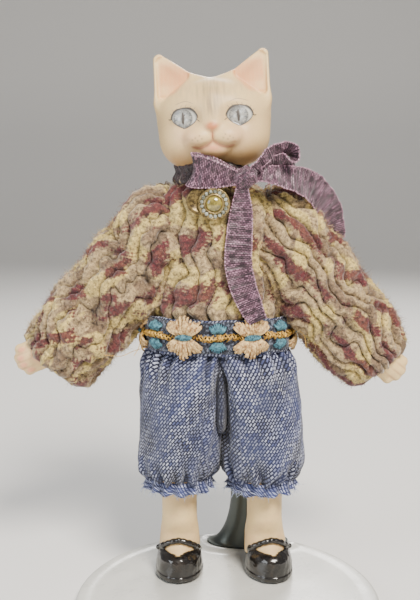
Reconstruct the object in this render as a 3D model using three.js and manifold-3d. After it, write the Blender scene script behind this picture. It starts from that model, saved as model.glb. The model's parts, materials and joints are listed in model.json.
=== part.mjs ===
// A miniature bisque cat doll in knitted sweater and denim bloomers, held by its waist on a small
// display stand. Millimetres, +Z up, the doll faces -Y. The origin is the middle of the stand's underside.
// "left" and "right" are the doll's own sides, so left is +X.
import * as THREE from "three";
import { mergeVertices } from "three/addons/utils/BufferGeometryUtils.js";
import Module from "manifold-3d";

const wasm = await Module();
wasm.setup();

// ---------------------------------------------------------------- driving dimensions
const GAP = 0.3; // clearance between touching pieces

const BASE = { radius: 30, thickness: 2.2, edge: 0.7 };
const COLUMN = {
  x: 5, y: 25.2, radius: 3.8, top: 36, boreRadius: 2.4, boreFloor: 9,
  footWidth: 9.1, footDepth: 4.3, footTop: 14,
};
const ROD = { radius: 2.2, bottom: 10, top: 57 };
const RIVET = { shankRadius: 1.5, headRadius: 2.6, headHeight: 0.9, top: 7 };
const CLIP = { z: 53.6, height: 3.6, thickness: 0.8, hubAngle: 26, endAngle: 20 };

const BODY = { x: -1.8, y: 11.3 }; // middle of the torso and waist
const WAIST = { rx: 13.4, ry: 8.4, bottom: 50.2, top: 57.2, band: 0.8, trim: 0.4 };
const TORSO = { rx: 9.2, ry: 6.4, bottom: 50.1, top: 79.5 };
const SWEATER = { wall: 1.2, hem: 57.5 };
const NECK = { x: -3.2, y: 11.4, radius: 4.6, base: 78.2, top: 86.6 };
const HEAD = { x: -2.9, y: 11.6, z: 97.2, rx: 11, ry: 9.6, rz: 9, crown: 7, tilt: 3.3 };

const CROTCH = -0.95; // middle of the gap between the legs
const HIP = { z: 40.4, radius: 9.2, wireRadius: 0.7 };
const LEG = { top: 31, ankle: 11.2, radius: 3.7 };
const SOLE = BASE.thickness + GAP;
const SHOE = { length: 13.4, width: 9.6, toeHeight: 6.4, top: 9.4 };

const ARM = { padRadius: 2.5, wireRadius: 0.6, forearmRadius: 2.7, ball: 2.9 };
const SIDES = [
  {
    side: "right", sign: -1, legX: -9.8, toeTurn: -1, bloomX: -10.6, bloomRx: 7.6,
    shoulder: [-13, 11.8, 72.6], elbow: [-28, 11.2, 55.6], wrist: [-34.6, 10.6, 50.4], tip: [-41.6, 10, 47.4],
    cuff: [-33.8, 11, 48.4],
  },
  {
    side: "left", sign: 1, legX: 7.9, toeTurn: 8, bloomX: 8.7, bloomRx: 7.6,
    shoulder: [9.4, 11.8, 72.6], elbow: [23.6, 10.6, 55.6], wrist: [28.6, 9.8, 50.2], tip: [34.2, 9.2, 45.4],
    cuff: [29.3, 10.4, 48.4],
  },
];
const RAISE_ARM = 60; // degrees that a shoulder can rise above its rest
const BEND_ELBOW = 45; // degrees that a paw can rise above its rest
const CUFF_HALF_WIDTH = 8.7;
const STRETCH_ELBOW = 20; // degrees that a paw can drop below its rest

const RIBBON = {
  thickness: 0.5, stripThickness: 0.45, neckRadius: 6.6,
  loopWidth: 4.6, frontWidth: 4.4, backWidth: 5,
};
const KNOT = [3.2, 2.6, 84];
const KNOT_SIZE = [2.3, 1.5, 1.9];
const BROOCH = { at: [-2.7, 1.2, 79.4], radius: 3, depth: 1.2, seatRadius: 1.5, stone: [1.2, 0.42, 1.2] };

// ---------------------------------------------------------------- materials
const paint = (colour, roughness, metalness = 0) =>
  new THREE.MeshStandardMaterial({ color: colour, roughness, metalness });
const MATERIAL = {
  enamel: paint(0xc9c8c2, 0.3),
  steel: paint(0x6d706c, 0.3, 1),
  bisque: paint(0xe6d3b4, 0.55),
  glaze: paint(0x1b1917, 0.15),
  muslin: paint(0xd8cbb4, 0.9),
  wire: paint(0x9a9a98, 0.4, 1),
  knit: paint(0xb5a284, 1),
  denim: paint(0x5f6780, 0.95),
  trim: paint(0x3c4658, 0.9),
  ribbon: paint(0x6b4a5c, 0.5),
  brass: paint(0xa8905a, 0.35, 1),
  stone: paint(0xa29a58, 0.1),
  wood: paint(0xb98d5a, 0.7),
  vinyl: paint(0xd9d8d2, 0.5),
};

// ---------------------------------------------------------------- geometry helpers
const V = (...a) => new THREE.Vector3(...a);
const rad = THREE.MathUtils.degToRad;

function toSolid(geometry) {
  const g = geometry.clone();
  for (const name of ["normal", "uv"]) g.deleteAttribute(name);
  const merged = mergeVertices(g, 1e-4);
  return new wasm.Manifold(new wasm.Mesh({
    numProp: 3,
    vertProperties: merged.attributes.position.array,
    triVerts: new Uint32Array(merged.index.array),
  }));
}

function toGeometry(solid) {
  const mesh = solid.getMesh();
  const g = new THREE.BufferGeometry();
  g.setAttribute("position", new THREE.BufferAttribute(new Float32Array(mesh.vertProperties), 3));
  g.setIndex(new THREE.BufferAttribute(new Uint32Array(mesh.triVerts), 1));
  g.computeVertexNormals();
  return g;
}

// A closed skin over rings of { at, u, v }: middle point and the two half axes of each ellipse.
function loft(rings, segments = 20) {
  const points = [];
  for (const { at, u, v } of rings)
    for (let i = 0; i < segments; i++) {
      const a = (2 * Math.PI * i) / segments;
      points.push(at.clone().addScaledVector(u, Math.cos(a)).addScaledVector(v, Math.sin(a)));
    }
  const first = points.push(rings[0].at.clone()) - 1;
  const last = points.push(rings[rings.length - 1].at.clone()) - 1;
  const index = [];
  for (let i = 0; i < segments; i++) {
    const j = (i + 1) % segments;
    index.push(first, j, i);
    for (let k = 0; k < rings.length - 1; k++) {
      const a = k * segments, b = a + segments;
      index.push(a + i, a + j, b + j, a + i, b + j, b + i);
    }
    const t = (rings.length - 1) * segments;
    index.push(last, t + i, t + j);
  }
  const g = new THREE.BufferGeometry().setFromPoints(points);
  g.setIndex(index);
  return g;
}

// Upright rings from rows of [z, half width, half depth, x, y].
const upright = (rows, segments) =>
  loft(rows.map(([z, rx, ry, x = 0, y = 0]) => ({ at: V(x, y, z), u: V(rx, 0, 0), v: V(0, ry, 0) })), segments);

// A limb from a to b: rows of [share of the way, half width in the XZ plane, half depth along Y].
function limb(a, b, rows, segments) {
  const along = b.clone().sub(a).normalize();
  const depth = V(0, 1, 0).addScaledVector(along, -along.y).normalize();
  const across = depth.clone().cross(along);
  return loft(rows.map(([t, w, d]) => ({
    at: a.clone().lerp(b, t),
    u: across.clone().multiplyScalar(w),
    v: depth.clone().multiplyScalar(d),
  })), segments);
}

const cylinder = (radius, height, segments = 24) =>
  new THREE.CylinderGeometry(radius, radius, height, segments).rotateX(Math.PI / 2);
const ball = (radius, at, scale = [1, 1, 1]) =>
  new THREE.SphereGeometry(radius, 16, 10).scale(...scale).translate(...at);
// A round bar along Y through a point: the shape that a joint turning about Y leaves free.
const barY = (radius, depth, at) => new THREE.CylinderGeometry(radius, radius, depth, 24).translate(...at);
const barX = (radius, length, at) =>
  new THREE.CylinderGeometry(radius, radius, length, 24).rotateZ(Math.PI / 2).translate(...at);
const waistSkin = (grow, low, high) =>
  upright([low, high].map((z) => [z, WAIST.rx + grow, WAIST.ry + grow, BODY.x, BODY.y]), 48);
const box = (size, at) => new THREE.BoxGeometry(...size).translate(...at);
// A slice of a round bar along Y, open from one angle to the other (0 is +X, 90 is up).
function fan(at, radius, depth, fromDegrees, toDegrees) {
  const shape = new THREE.Shape();
  shape.lineTo(radius * Math.cos(rad(fromDegrees)), radius * Math.sin(rad(fromDegrees)));
  shape.absarc(0, 0, radius, rad(fromDegrees), rad(toDegrees), false);
  const slice = new THREE.ExtrudeGeometry(shape, { depth, bevelEnabled: false, curveSegments: 8 });
  return slice.translate(0, 0, -depth / 2).rotateX(Math.PI / 2).translate(...at);
}

const cut = (from, ...tools) => toGeometry(tools.reduce((s, t) => s.subtract(toSolid(t)), toSolid(from)));
const join = (...shapes) => toGeometry(shapes.map(toSolid).reduce((s, t) => s.add(t)));
const common = (a, b) => toGeometry(toSolid(a).intersect(toSolid(b)));

// A flat ribbon that follows a path of points in a plane: the strip's side view, extruded by its width.
function ribbonStrip(path, width, thickness = RIBBON.thickness, closed = false) {
  const curve = new THREE.CatmullRomCurve3(path.map(([x, y]) => V(x, y, 0)), closed, "centripetal");
  const steps = path.length * 4;
  const side = (offset) => Array.from({ length: steps + (closed ? 0 : 1) }, (_, i) => {
    const p = curve.getPoint(i / steps), t = curve.getTangent(i / steps);
    return new THREE.Vector2(p.x - t.y * offset, p.y + t.x * offset);
  });
  const outer = side(-thickness / 2), inner = side(thickness / 2);
  let shape;
  if (closed) {
    shape = new THREE.Shape(outer);
    shape.holes.push(new THREE.Path(inner));
  } else shape = new THREE.Shape([...outer, ...inner.reverse()]);
  return new THREE.ExtrudeGeometry(shape, { depth: width, bevelEnabled: false }).translate(0, 0, -width / 2);
}

const root = new THREE.Group();
function part(name, geometry, material) {
  const mesh = new THREE.Mesh(geometry, material);
  mesh.name = name;
  root.add(mesh);
  return mesh;
}

// ---------------------------------------------------------------- stand
function buildStand() {
  const { radius, thickness, edge } = BASE;
  const disc = new THREE.LatheGeometry([
    [0, 0], [radius - edge, 0], [radius - 0.2, edge * 0.3], [radius, edge], [radius, thickness - edge],
    [radius - 0.2, thickness - edge * 0.3], [radius - edge, thickness], [0, thickness],
  ].map(([x, y]) => new THREE.Vector2(x, y)), 48).rotateX(Math.PI / 2);
  const at = [COLUMN.x, COLUMN.y];
  const shankHole = cylinder(RIVET.shankRadius + GAP, 2 * thickness).translate(...at, thickness / 2);
  const headHole = cylinder(RIVET.headRadius + GAP, 2 * (RIVET.headHeight + GAP)).translate(...at, 0);
  part("stand_base", cut(disc, shankHole, headHole), MATERIAL.enamel);

  // The column's foot spreads sideways along the rim of the base and narrows into the round tube.
  const footBottom = thickness + 0.05, footRim = footBottom + 0.5;
  const foot = [[footBottom, COLUMN.footWidth, COLUMN.footDepth]];
  for (let i = 0; i <= 7; i++) {
    const a = (i / 7) * (Math.PI / 2);
    const spread = 1 - Math.sin(a);
    foot.push([
      footRim + (COLUMN.footTop - footRim) * (1 - Math.cos(a)),
      COLUMN.radius + (COLUMN.footWidth - COLUMN.radius) * spread,
      COLUMN.radius + (COLUMN.footDepth - COLUMN.radius) * spread,
    ]);
  }
  foot.push([COLUMN.top - 0.5, COLUMN.radius, COLUMN.radius]);
  foot.push([COLUMN.top, COLUMN.radius - 0.5, COLUMN.radius - 0.5]);
  const column = upright(foot.map((row) => [...row, ...at]), 28);
  const boreLength = COLUMN.top - COLUMN.boreFloor;
  const bore = cylinder(COLUMN.boreRadius, boreLength + 2)
    .translate(...at, COLUMN.boreFloor + boreLength / 2 + 1);
  const rivetHole = cylinder(RIVET.shankRadius + GAP, 2 * (RIVET.top + GAP)).translate(...at, 0);
  part("stand_column", cut(column, bore, rivetHole), MATERIAL.steel);

  const head = cylinder(RIVET.headRadius, RIVET.headHeight).translate(...at, RIVET.headHeight / 2 + 0.15);
  const shank = cylinder(RIVET.shankRadius, RIVET.top - 0.5).translate(...at, (RIVET.top + 0.5) / 2);
  part("stand_rivet", join(head, shank), MATERIAL.steel);

  const rodLength = ROD.top - ROD.bottom;
  const rod = cylinder(ROD.radius, rodLength).translate(...at, ROD.bottom + rodLength / 2);
  part("stand_rod", rod, MATERIAL.steel);
}

// ---------------------------------------------------------------- waist clip
const clipRoom = WAIST.band + WAIST.trim + 0.4; // from the waist out to the clip's inner face
const clipInner = { rx: WAIST.rx + clipRoom, ry: WAIST.ry + clipRoom };
function clipStrip(fromDegrees, toDegrees, z, height, inset = 0, extra = 0) {
  const steps = 16;
  const arc = (grow) => Array.from({ length: steps + 1 }, (_, i) => {
    const a = rad(fromDegrees + ((toDegrees - fromDegrees) * i) / steps);
    return new THREE.Vector2(
      BODY.x + (clipInner.rx + grow) * Math.cos(a),
      BODY.y + (clipInner.ry + grow) * Math.sin(a),
    );
  });
  const shape = new THREE.Shape([...arc(CLIP.thickness + extra), ...arc(-inset).reverse()]);
  const strip = new THREE.ExtrudeGeometry(shape, { depth: height, bevelEnabled: false });
  return strip.translate(0, 0, z - height / 2);
}

function buildClip() {
  const collar = cylinder(ROD.radius + 1.6, CLIP.height + 1.4).translate(COLUMN.x, COLUMN.y, CLIP.z);
  const plate = clipStrip(90 - CLIP.hubAngle, 90 + CLIP.hubAngle, CLIP.z, CLIP.height, 0, 1);
  const bridge = box([5, 5, 3], [(COLUMN.x + BODY.x) / 2 + 1, COLUMN.y - 3, CLIP.z]);
  const beltRoom = waistSkin(WAIST.band + WAIST.trim + 0.35, WAIST.bottom - 2, WAIST.top + 2);
  const rodHole = cylinder(ROD.radius + 0.15, 30).translate(COLUMN.x, COLUMN.y, CLIP.z);
  part("clip_hub", cut(join(collar, bridge, plate), rodHole, beltRoom), MATERIAL.vinyl);
  for (const { side, sign } of SIDES) {
    const from = sign > 0 ? CLIP.endAngle : 180 - CLIP.endAngle;
    const to = sign > 0 ? 90 - CLIP.hubAngle - 3 : 90 + CLIP.hubAngle + 3;
    const arm = clipStrip(Math.min(from, to), Math.max(from, to), CLIP.z, CLIP.height);
    part(`clip_${side}_arm`, arm, MATERIAL.vinyl);
  }
}

// ---------------------------------------------------------------- torso, neck and head
const shoulderBall = (radius) => SIDES.map((s) => ball(radius, s.shoulder));

// The cloth body's hip block, which the leg wire goes through.
const pelvis = (grow) => upright([
  [HIP.z - 4 - grow, 0.8 + grow, 2.6 + grow, CROTCH, BODY.y], [HIP.z, 0.9 + grow, 3.6 + grow, CROTCH, BODY.y],
  [WAIST.bottom + 2, 0.9 + grow, 4 + grow, CROTCH, BODY.y],
], 20);

function buildTorso() {
  const { rx, ry, bottom, top } = TORSO;
  const torso = upright([
    [bottom, rx * 0.9, ry * 0.9, BODY.x, BODY.y], [bottom + 3, rx * 1.12, ry * 1.05, BODY.x, BODY.y],
    [60, rx, ry, BODY.x, BODY.y], [68, rx, ry, BODY.x, BODY.y], [74, rx, ry * 0.98, BODY.x, BODY.y],
    [77.5, rx * 0.9, ry * 0.85, BODY.x, BODY.y], [top, rx * 0.6, ry * 0.65, BODY.x - 0.6, BODY.y],
  ]);
  const wireHole = barX(HIP.wireRadius + GAP, 20, [CROTCH, BODY.y, HIP.z]);
  const neckHole = cylinder(NECK.radius + GAP, 12).translate(NECK.x, NECK.y, NECK.base + 5.4);
  const holes = [wireHole, neckHole, ...shoulderBall(ARM.ball + GAP)];
  part("torso", cut(join(torso, pelvis(0)), ...holes), MATERIAL.muslin);
  part("hip_wire", barX(HIP.wireRadius, 17, [CROTCH, BODY.y, HIP.z]), MATERIAL.wire);

  // The bisque shoulder plate: a short neck with a cupped top on a flange that is glued to the torso.
  const plate = new THREE.LatheGeometry([
    [0, NECK.base], [4.2, NECK.base], [4.4, NECK.base + 1], [4.4, NECK.top - 2], [3.9, NECK.top - 1.2],
    [2.6, NECK.top - 2.2], [0, NECK.top - 2.8],
  ].map(([x, y]) => new THREE.Vector2(x, y)), 32).rotateX(Math.PI / 2).translate(NECK.x, NECK.y, 0);
  const wireBore = cylinder(0.9, 20).translate(NECK.x, NECK.y, NECK.top);
  part("neck_plug", cut(plate, wireBore), MATERIAL.bisque);
  part("neck_hook", cylinder(0.6, 12, 16).translate(NECK.x, NECK.y, NECK.top + 2.2), MATERIAL.wire);
}

function buildSkull() {
  const skull = new THREE.SphereGeometry(1, 28, 20).scale(HEAD.rx, HEAD.ry, HEAD.rz)
    .translate(0, 0, HEAD.crown - HEAD.rz);
  const muzzle = new THREE.SphereGeometry(1, 18, 12).scale(5.4, 4, 4).translate(0, -6.8, -4.2);
  return toSolid(skull).add(toSolid(muzzle));
}

function buildHead() {
  const ears = [-1, 1].map((s) => {
    const outer = loft([
      { at: V(s * 6.3, 0.4, 1), u: V(4.6, 0, 0), v: V(0, 4.6, 0) },
      { at: V(s * 6.9, 0.4, 5), u: V(4, 0, 0), v: V(0, 3.6, 0) },
      { at: V(s * 8.6, 0.4, 8.6), u: V(2.2, 0, 0), v: V(0, 2, 0) },
      { at: V(s * 9.9, 0.4, 11.4), u: V(0.7, 0, 0), v: V(0, 0.7, 0) },
    ], 18);
    return toSolid(outer);
  });
  const head = ears.reduce((s, e) => s.add(e), buildSkull());
  const place = new THREE.Matrix4().makeRotationY(rad(-HEAD.tilt))
    .setPosition(HEAD.x, HEAD.y, HEAD.z);
  const placed = toSolid(toGeometry(head).applyMatrix4(place));
  const collar = toSolid(cylinder(4.7, 3).translate(NECK.x, NECK.y, NECK.top + 0.9));
  // The pour hole under the head: it takes the neck plug's cupped top and the hook.
  const pour = toSolid(new THREE.LatheGeometry([
    [0, NECK.top - 3], [4.9, NECK.top - 3], [4.9, NECK.top - 0.4], [3.4, NECK.top + 0.2],
    [3.4, NECK.top + 11], [0, NECK.top + 11],
  ].map(([x, y]) => new THREE.Vector2(x, y)), 32).rotateX(Math.PI / 2).translate(NECK.x, NECK.y, 0));
  part("head", toGeometry(placed.add(collar).subtract(pour)), MATERIAL.bisque);
  // The wooden stringing button that rides on the hook inside the head.
  const button = new THREE.LatheGeometry([
    [0.9, NECK.top + 3.4], [2.6, NECK.top + 3.4], [3, NECK.top + 4.2], [2.4, NECK.top + 5.8],
    [0.9, NECK.top + 6.4], [0.9, NECK.top + 3.4],
  ].map(([x, y]) => new THREE.Vector2(x, y)), 28).rotateX(Math.PI / 2).translate(NECK.x, NECK.y, 0);
  part("neck_button", button, MATERIAL.wood);
}

// ---------------------------------------------------------------- sweater
const armCorridor = SIDES.map(({ shoulder, sign }) => {
  // Everything on the torso's side of the shoulder, which the turning sleeve must never enter.
  const wall = box([40, 60, 80], [sign * -20.6, 0, 0]);
  return [0, 15, 30, 45, RAISE_ARM].map((degrees) =>
    wall.clone().rotateY(rad(sign * degrees)).translate(...shoulder));
});

function buildSweater() {
  const { rx, ry } = TORSO;
  const w = SWEATER.wall;
  const skin = (grow) => upright([
    [SWEATER.hem - (grow > 1 ? 0 : 1), rx * 1.12 + grow + 1.2, ry * 1.05 + grow + 1, BODY.x, BODY.y],
    [60, rx * 1.02 + grow, ry * 1.05 + grow, BODY.x, BODY.y], [68, rx + grow, ry * 1.02 + grow, BODY.x, BODY.y],
    [75, rx + grow, ry + grow, BODY.x, BODY.y], [79, rx * 0.92 + grow, ry * 0.95 + grow, BODY.x, BODY.y],
    [81.4, 6.2 + grow, 5.2 + grow, BODY.x - 0.8, BODY.y],
    [grow > 1 ? 82.6 : 84, 5.2 + grow, 4.9 + grow, NECK.x, NECK.y],
  ], 28);
  const keepMiddle = box([20.4, 40, 60], [BODY.x, BODY.y, 70]);
  const middle = common(skin(w + GAP), keepMiddle);
  part("sweater_body", cut(middle, skin(GAP), ...shoulderBall(ARM.ball + GAP)), MATERIAL.knit);

  const ring = (grow, low, high) => upright([
    [low, 5.4 + grow, 5.1 + grow, NECK.x, NECK.y], [high, 5 + grow, 4.8 + grow, NECK.x, NECK.y],
  ], 32);
  part("sweater_collar", cut(ring(3.2, 82.9, 84.6), ring(0.6, 82, 86)), MATERIAL.knit);

  SIDES.forEach((s, i) => buildSleeve(s, armCorridor[i]));
}

function buildSleeve({ side, sign, shoulder, elbow, cuff }, corridor) {
  const S = V(...shoulder), E = V(...elbow), C = V(...cuff);
  const drop = C.clone().sub(E).normalize();
  const cap = common(barY(8, 13, shoulder), ball(9, shoulder, [1, 0.8, 1]));
  const bag = limb(S, E, [[0, 7.8, 6], [0.3, 9, 6.8], [0.7, 9.4, 7], [1.12, 8.8, 6.8]]);
  const elbowBar = barY(8.4 + GAP, 40, elbow);
  const below = box([60, 60, 40], [0, 0, -20]);
  const aim = new THREE.Quaternion().setFromUnitVectors(V(0, 0, -1), E.clone().sub(S).normalize());
  const past = below.applyQuaternion(aim).translate(...elbow)
    .translate(...S.clone().sub(E).normalize().multiplyScalar(1.4).toArray());
  // What the cuff sweeps on the outer side as the elbow bends.
  const forearmAngle = THREE.MathUtils.radToDeg(Math.atan2(C.z - E.z, C.x - E.x));
  const bentAngle = sign > 0 ? forearmAngle + BEND_ELBOW : forearmAngle - BEND_ELBOW + 180;
  const bentCuff = box([30, 60, 40], [sign * 15, 0, CUFF_HALF_WIDTH + 0.5 - 20])
    .rotateY(-rad(bentAngle)).translate(...elbow);
  const armRoom = limb(S, E, [[-0.3, 3.3, 3.3], [1.3, 3.3, 3.3]], 20);
  const shoulderRoom = ball(ARM.ball + 0.8, shoulder);
  const beltRoom = waistSkin(WAIST.band + WAIST.trim + 0.6, WAIST.bottom - 2, WAIST.top + 1);
  part(`${side}_sleeve`, cut(join(cap, bag), elbowBar, past, armRoom, shoulderRoom, beltRoom, bentCuff,
    ...corridor), MATERIAL.knit);

  const knuckle = common(barY(8.2, 13, elbow), ball(8.8, elbow, [1, 0.76, 1]));
  const bell = limb(E, C.clone().addScaledVector(drop, 1.4), [
    [0, 8, 6.6], [0.5, CUFF_HALF_WIDTH, 6.8], [0.86, CUFF_HALF_WIDTH, 6.6], [1, 8.1, 6],
  ]);
  const room = limb(E, C.clone().addScaledVector(drop, 4), [[0, 4.4, 4.2], [0.5, 7, 5.2], [1, 7.2, 5.2]], 16);
  const upperArm = armFan(S, E, sign, 14, 2.9, 5);
  part(`${side}_cuff`, cut(join(knuckle, bell), room, upperArm), MATERIAL.knit);
}

// ---------------------------------------------------------------- arms
// The slice that a bar of the upper arm sweeps around the elbow, seen from the turning forearm. It is cut
// together with a ball of clearRadius, so that its edges leave room for the bar's own half width.
function armFan(S, E, sign, radius, halfWidth, clearRadius) {
  const degrees = THREE.MathUtils.radToDeg;
  const up = degrees(Math.atan2(S.z - E.z, S.x - E.x));
  const margin = degrees(Math.asin(halfWidth / clearRadius));
  const [down, rise] = sign > 0 ? [BEND_ELBOW, STRETCH_ELBOW] : [STRETCH_ELBOW, BEND_ELBOW];
  const slice = fan(E.toArray(), radius, 2 * halfWidth, up - margin - down, up + margin + rise);
  return join(slice, ball(clearRadius, E.toArray()));
}

function buildArms() {
  for (const { side, sign, shoulder, elbow, wrist, tip } of SIDES) {
    const S = V(...shoulder), E = V(...elbow), W = V(...wrist), T = V(...tip);
    const length = S.distanceTo(E);
    const pad = join(ball(ARM.ball, shoulder), limb(S, E, [[0, 2.6, 2.6], [1 - 3.4 / length, 2.3, 2.3]], 20));
    const rod = (radius, from, to, segments) =>
      limb(S, E, [[from, radius, radius], [to, radius, radius]], segments);
    const core = rod(ARM.wireRadius + 0.2, 0.02, 1.4, 14);
    part(`${side}_upper_arm`, cut(pad, ball(3.4, elbow), core), MATERIAL.muslin);
    part(`${side}_arm_wire`, rod(ARM.wireRadius, 0.05, 0.97, 12), MATERIAL.wire);
    const fore = join(
      limb(E, W, [[-0.3, 1, 1], [-0.2, 2.2, 2.2], [0, 2.7, 2.7], [1.1, 2.6, 2.5]], 16),
      limb(W, T, [[-0.1, 2.5, 2.4], [0.6, 2.9, 2.5], [1, 2.7, 2.3], [1.2, 1.9, 1.6], [1.28, 0.8, 0.7]], 16),
    );
    part(`${side}_forearm`, cut(fore, armFan(S, E, sign, 8, 0.95, 1.7)), MATERIAL.bisque);
  }
}

// ---------------------------------------------------------------- legs and shoes
function buildLegs() {
  for (const { side, sign, legX, toeTurn } of SIDES) {
    const heelY = BODY.y + 4.6;
    const thigh = cut(
      join(upright([[LEG.top + GAP, 3.2, 3.2, legX, BODY.y], [HIP.z, 3.4, 3.4, legX, BODY.y]], 24),
        ball(3.4, [legX, BODY.y, HIP.z])),
      barX(HIP.wireRadius + GAP, 14, [legX - sign * 5.6, BODY.y, HIP.z]),
    );
    part(`${side}_thigh`, thigh, MATERIAL.muslin);
    const shank = (grow) => upright([
      [4.4 - grow, 3.1 + grow, 3.3 + grow, legX, BODY.y + 1.2], [8, 3.4 + grow, 3.6 + grow, legX, BODY.y + 0.8],
      [LEG.ankle, LEG.radius + grow, 3.8 + grow, legX, BODY.y + 0.4],
      [20, LEG.radius - 0.1 + grow, 3.7 + grow, legX, BODY.y], [LEG.top, 3.4 + grow, 3.4 + grow, legX, BODY.y],
    ], 20);
    const foot = (grow) => new THREE.SphereGeometry(1, 16, 12).scale(3.4 + grow, 4.9 + grow, 2.6 + grow)
      .translate(0, -5, 5.9 - SOLE).rotateZ(rad(toeTurn)).translate(legX, heelY - 1, SOLE);
    part(`${side}_leg`, join(shank(0), foot(0)), MATERIAL.bisque);

    const place = (g) => g.rotateZ(rad(toeTurn)).translate(legX, heelY, SOLE);
    const half = SHOE.width / 2, middle = -SHOE.length / 2 + 1.9;
    const upper = place(loft([
      { at: V(0, middle + 0.2, 0), u: V(half * 0.86, 0, 0), v: V(0, SHOE.length * 0.46, 0) },
      { at: V(0, middle, 1), u: V(half, 0, 0), v: V(0, SHOE.length / 2, 0) },
      { at: V(0, middle, 3), u: V(half, 0, 0), v: V(0, SHOE.length / 2, 0) },
      { at: V(0, middle + 0.7, 5), u: V(half * 0.9, 0, 0), v: V(0, SHOE.length * 0.43, 0) },
      { at: V(0, middle + 1.5, SHOE.toeHeight), u: V(half * 0.74, 0, 0), v: V(0, SHOE.length * 0.33, 0) },
    ], 24));
    const collar = upright([
      [5, 4.3, 4.6, legX, BODY.y + 1], [8.4, 4.3, 4.5, legX, BODY.y + 0.8],
      [SHOE.top + 1.4, 4.3, 4.4, legX, BODY.y + 0.5],
    ], 24);
    const instep = place(ball(1, [0, -6.4, 6.4], [3, 1.9, 1.7]));
    part(`${side}_shoe`, cut(join(upper, collar), foot(GAP), shank(GAP), instep), MATERIAL.glaze);
  }
}

// ---------------------------------------------------------------- bloomers and belt
function buildBloomers() {
  const ringBand = (inner, outer, low, high) =>
    cut(waistSkin(outer, low, high), waistSkin(inner, low - 1, high + 1));
  const { band, trim, bottom, top } = WAIST;
  part("waistband", ringBand(-1.2, band - 0.1, bottom, top - 0.4), MATERIAL.denim);
  part("belt_trim", ringBand(band, band + trim, bottom + 0.1, top - 0.2), MATERIAL.trim);

  // The middle of the bloomers, between the two legs: it hides the cloth body's hip block.
  const seatRows = (grow, low, high) => upright([
    [low, 1.4 + grow / 2, 5 + grow, CROTCH, BODY.y], [low + 4, 1.6, 6.6 + grow, CROTCH, BODY.y],
    [high, 1.6, 7.4 + grow, CROTCH, BODY.y],
  ], 24);
  const seat = common(seatRows(0.8, 32.5, bottom - GAP), box([3.2, 40, 40], [CROTCH, BODY.y, HIP.z]));
  const wireHole = barX(HIP.wireRadius + GAP, 20, [CROTCH, BODY.y, HIP.z]);
  part("bloomers_seat", cut(seat, pelvis(GAP), wireHole), MATERIAL.denim);

  for (const { side, sign, legX, bloomX, bloomRx } of SIDES) {
    const R = HIP.radius;
    const puff = upright([
      [23.6, 5.6, 5.6, legX, BODY.y], [26, 6.8, 7.4, bloomX, BODY.y], [31, bloomRx, 8.8, bloomX, BODY.y],
      [38, bloomRx + 0.1, R - 0.1, bloomX, BODY.y], [HIP.z, bloomRx, R - 0.2, bloomX, BODY.y],
      [HIP.z + 0.5 * R, bloomRx - 0.4, R * 0.9, bloomX, BODY.y],
      [HIP.z + R, bloomRx - 1.6, R * 0.9, bloomX, BODY.y],
    ], 28);
    const turned = join(
      common(puff, barX(R, 40, [bloomX, BODY.y, HIP.z])),
      common(puff, box([40, 40, 20], [bloomX, BODY.y, HIP.z - 10])),
    );
    const roomInside = upright([
      [20, 5, 5, legX, BODY.y], [26, 5, 5.4, legX, BODY.y], [38, 5.4, 7, legX, BODY.y],
      [HIP.z + 5, 4, 5, legX, BODY.y],
    ], 28);
    const wireRoom = barX(HIP.wireRadius + 0.6, 12, [bloomX - sign * 6, BODY.y, HIP.z]);
    const inside = box([20, 60, 60], [CROTCH - sign * (10 - 2), BODY.y, HIP.z]);
    part(`${side}_bloomer_leg`, cut(turned, roomInside, wireRoom, inside), MATERIAL.denim);
    const frill = (grow, low, high) => upright([
      [low, 6 + grow, 6 + grow, legX, BODY.y], [high, 5.2 + grow, 5.2 + grow, legX, BODY.y],
    ], 36);
    part(`${side}_frill`, cut(frill(1.2, 21.2, 23.3), frill(-0.6, 20.8, 23.6)), MATERIAL.denim);
  }
}

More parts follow.
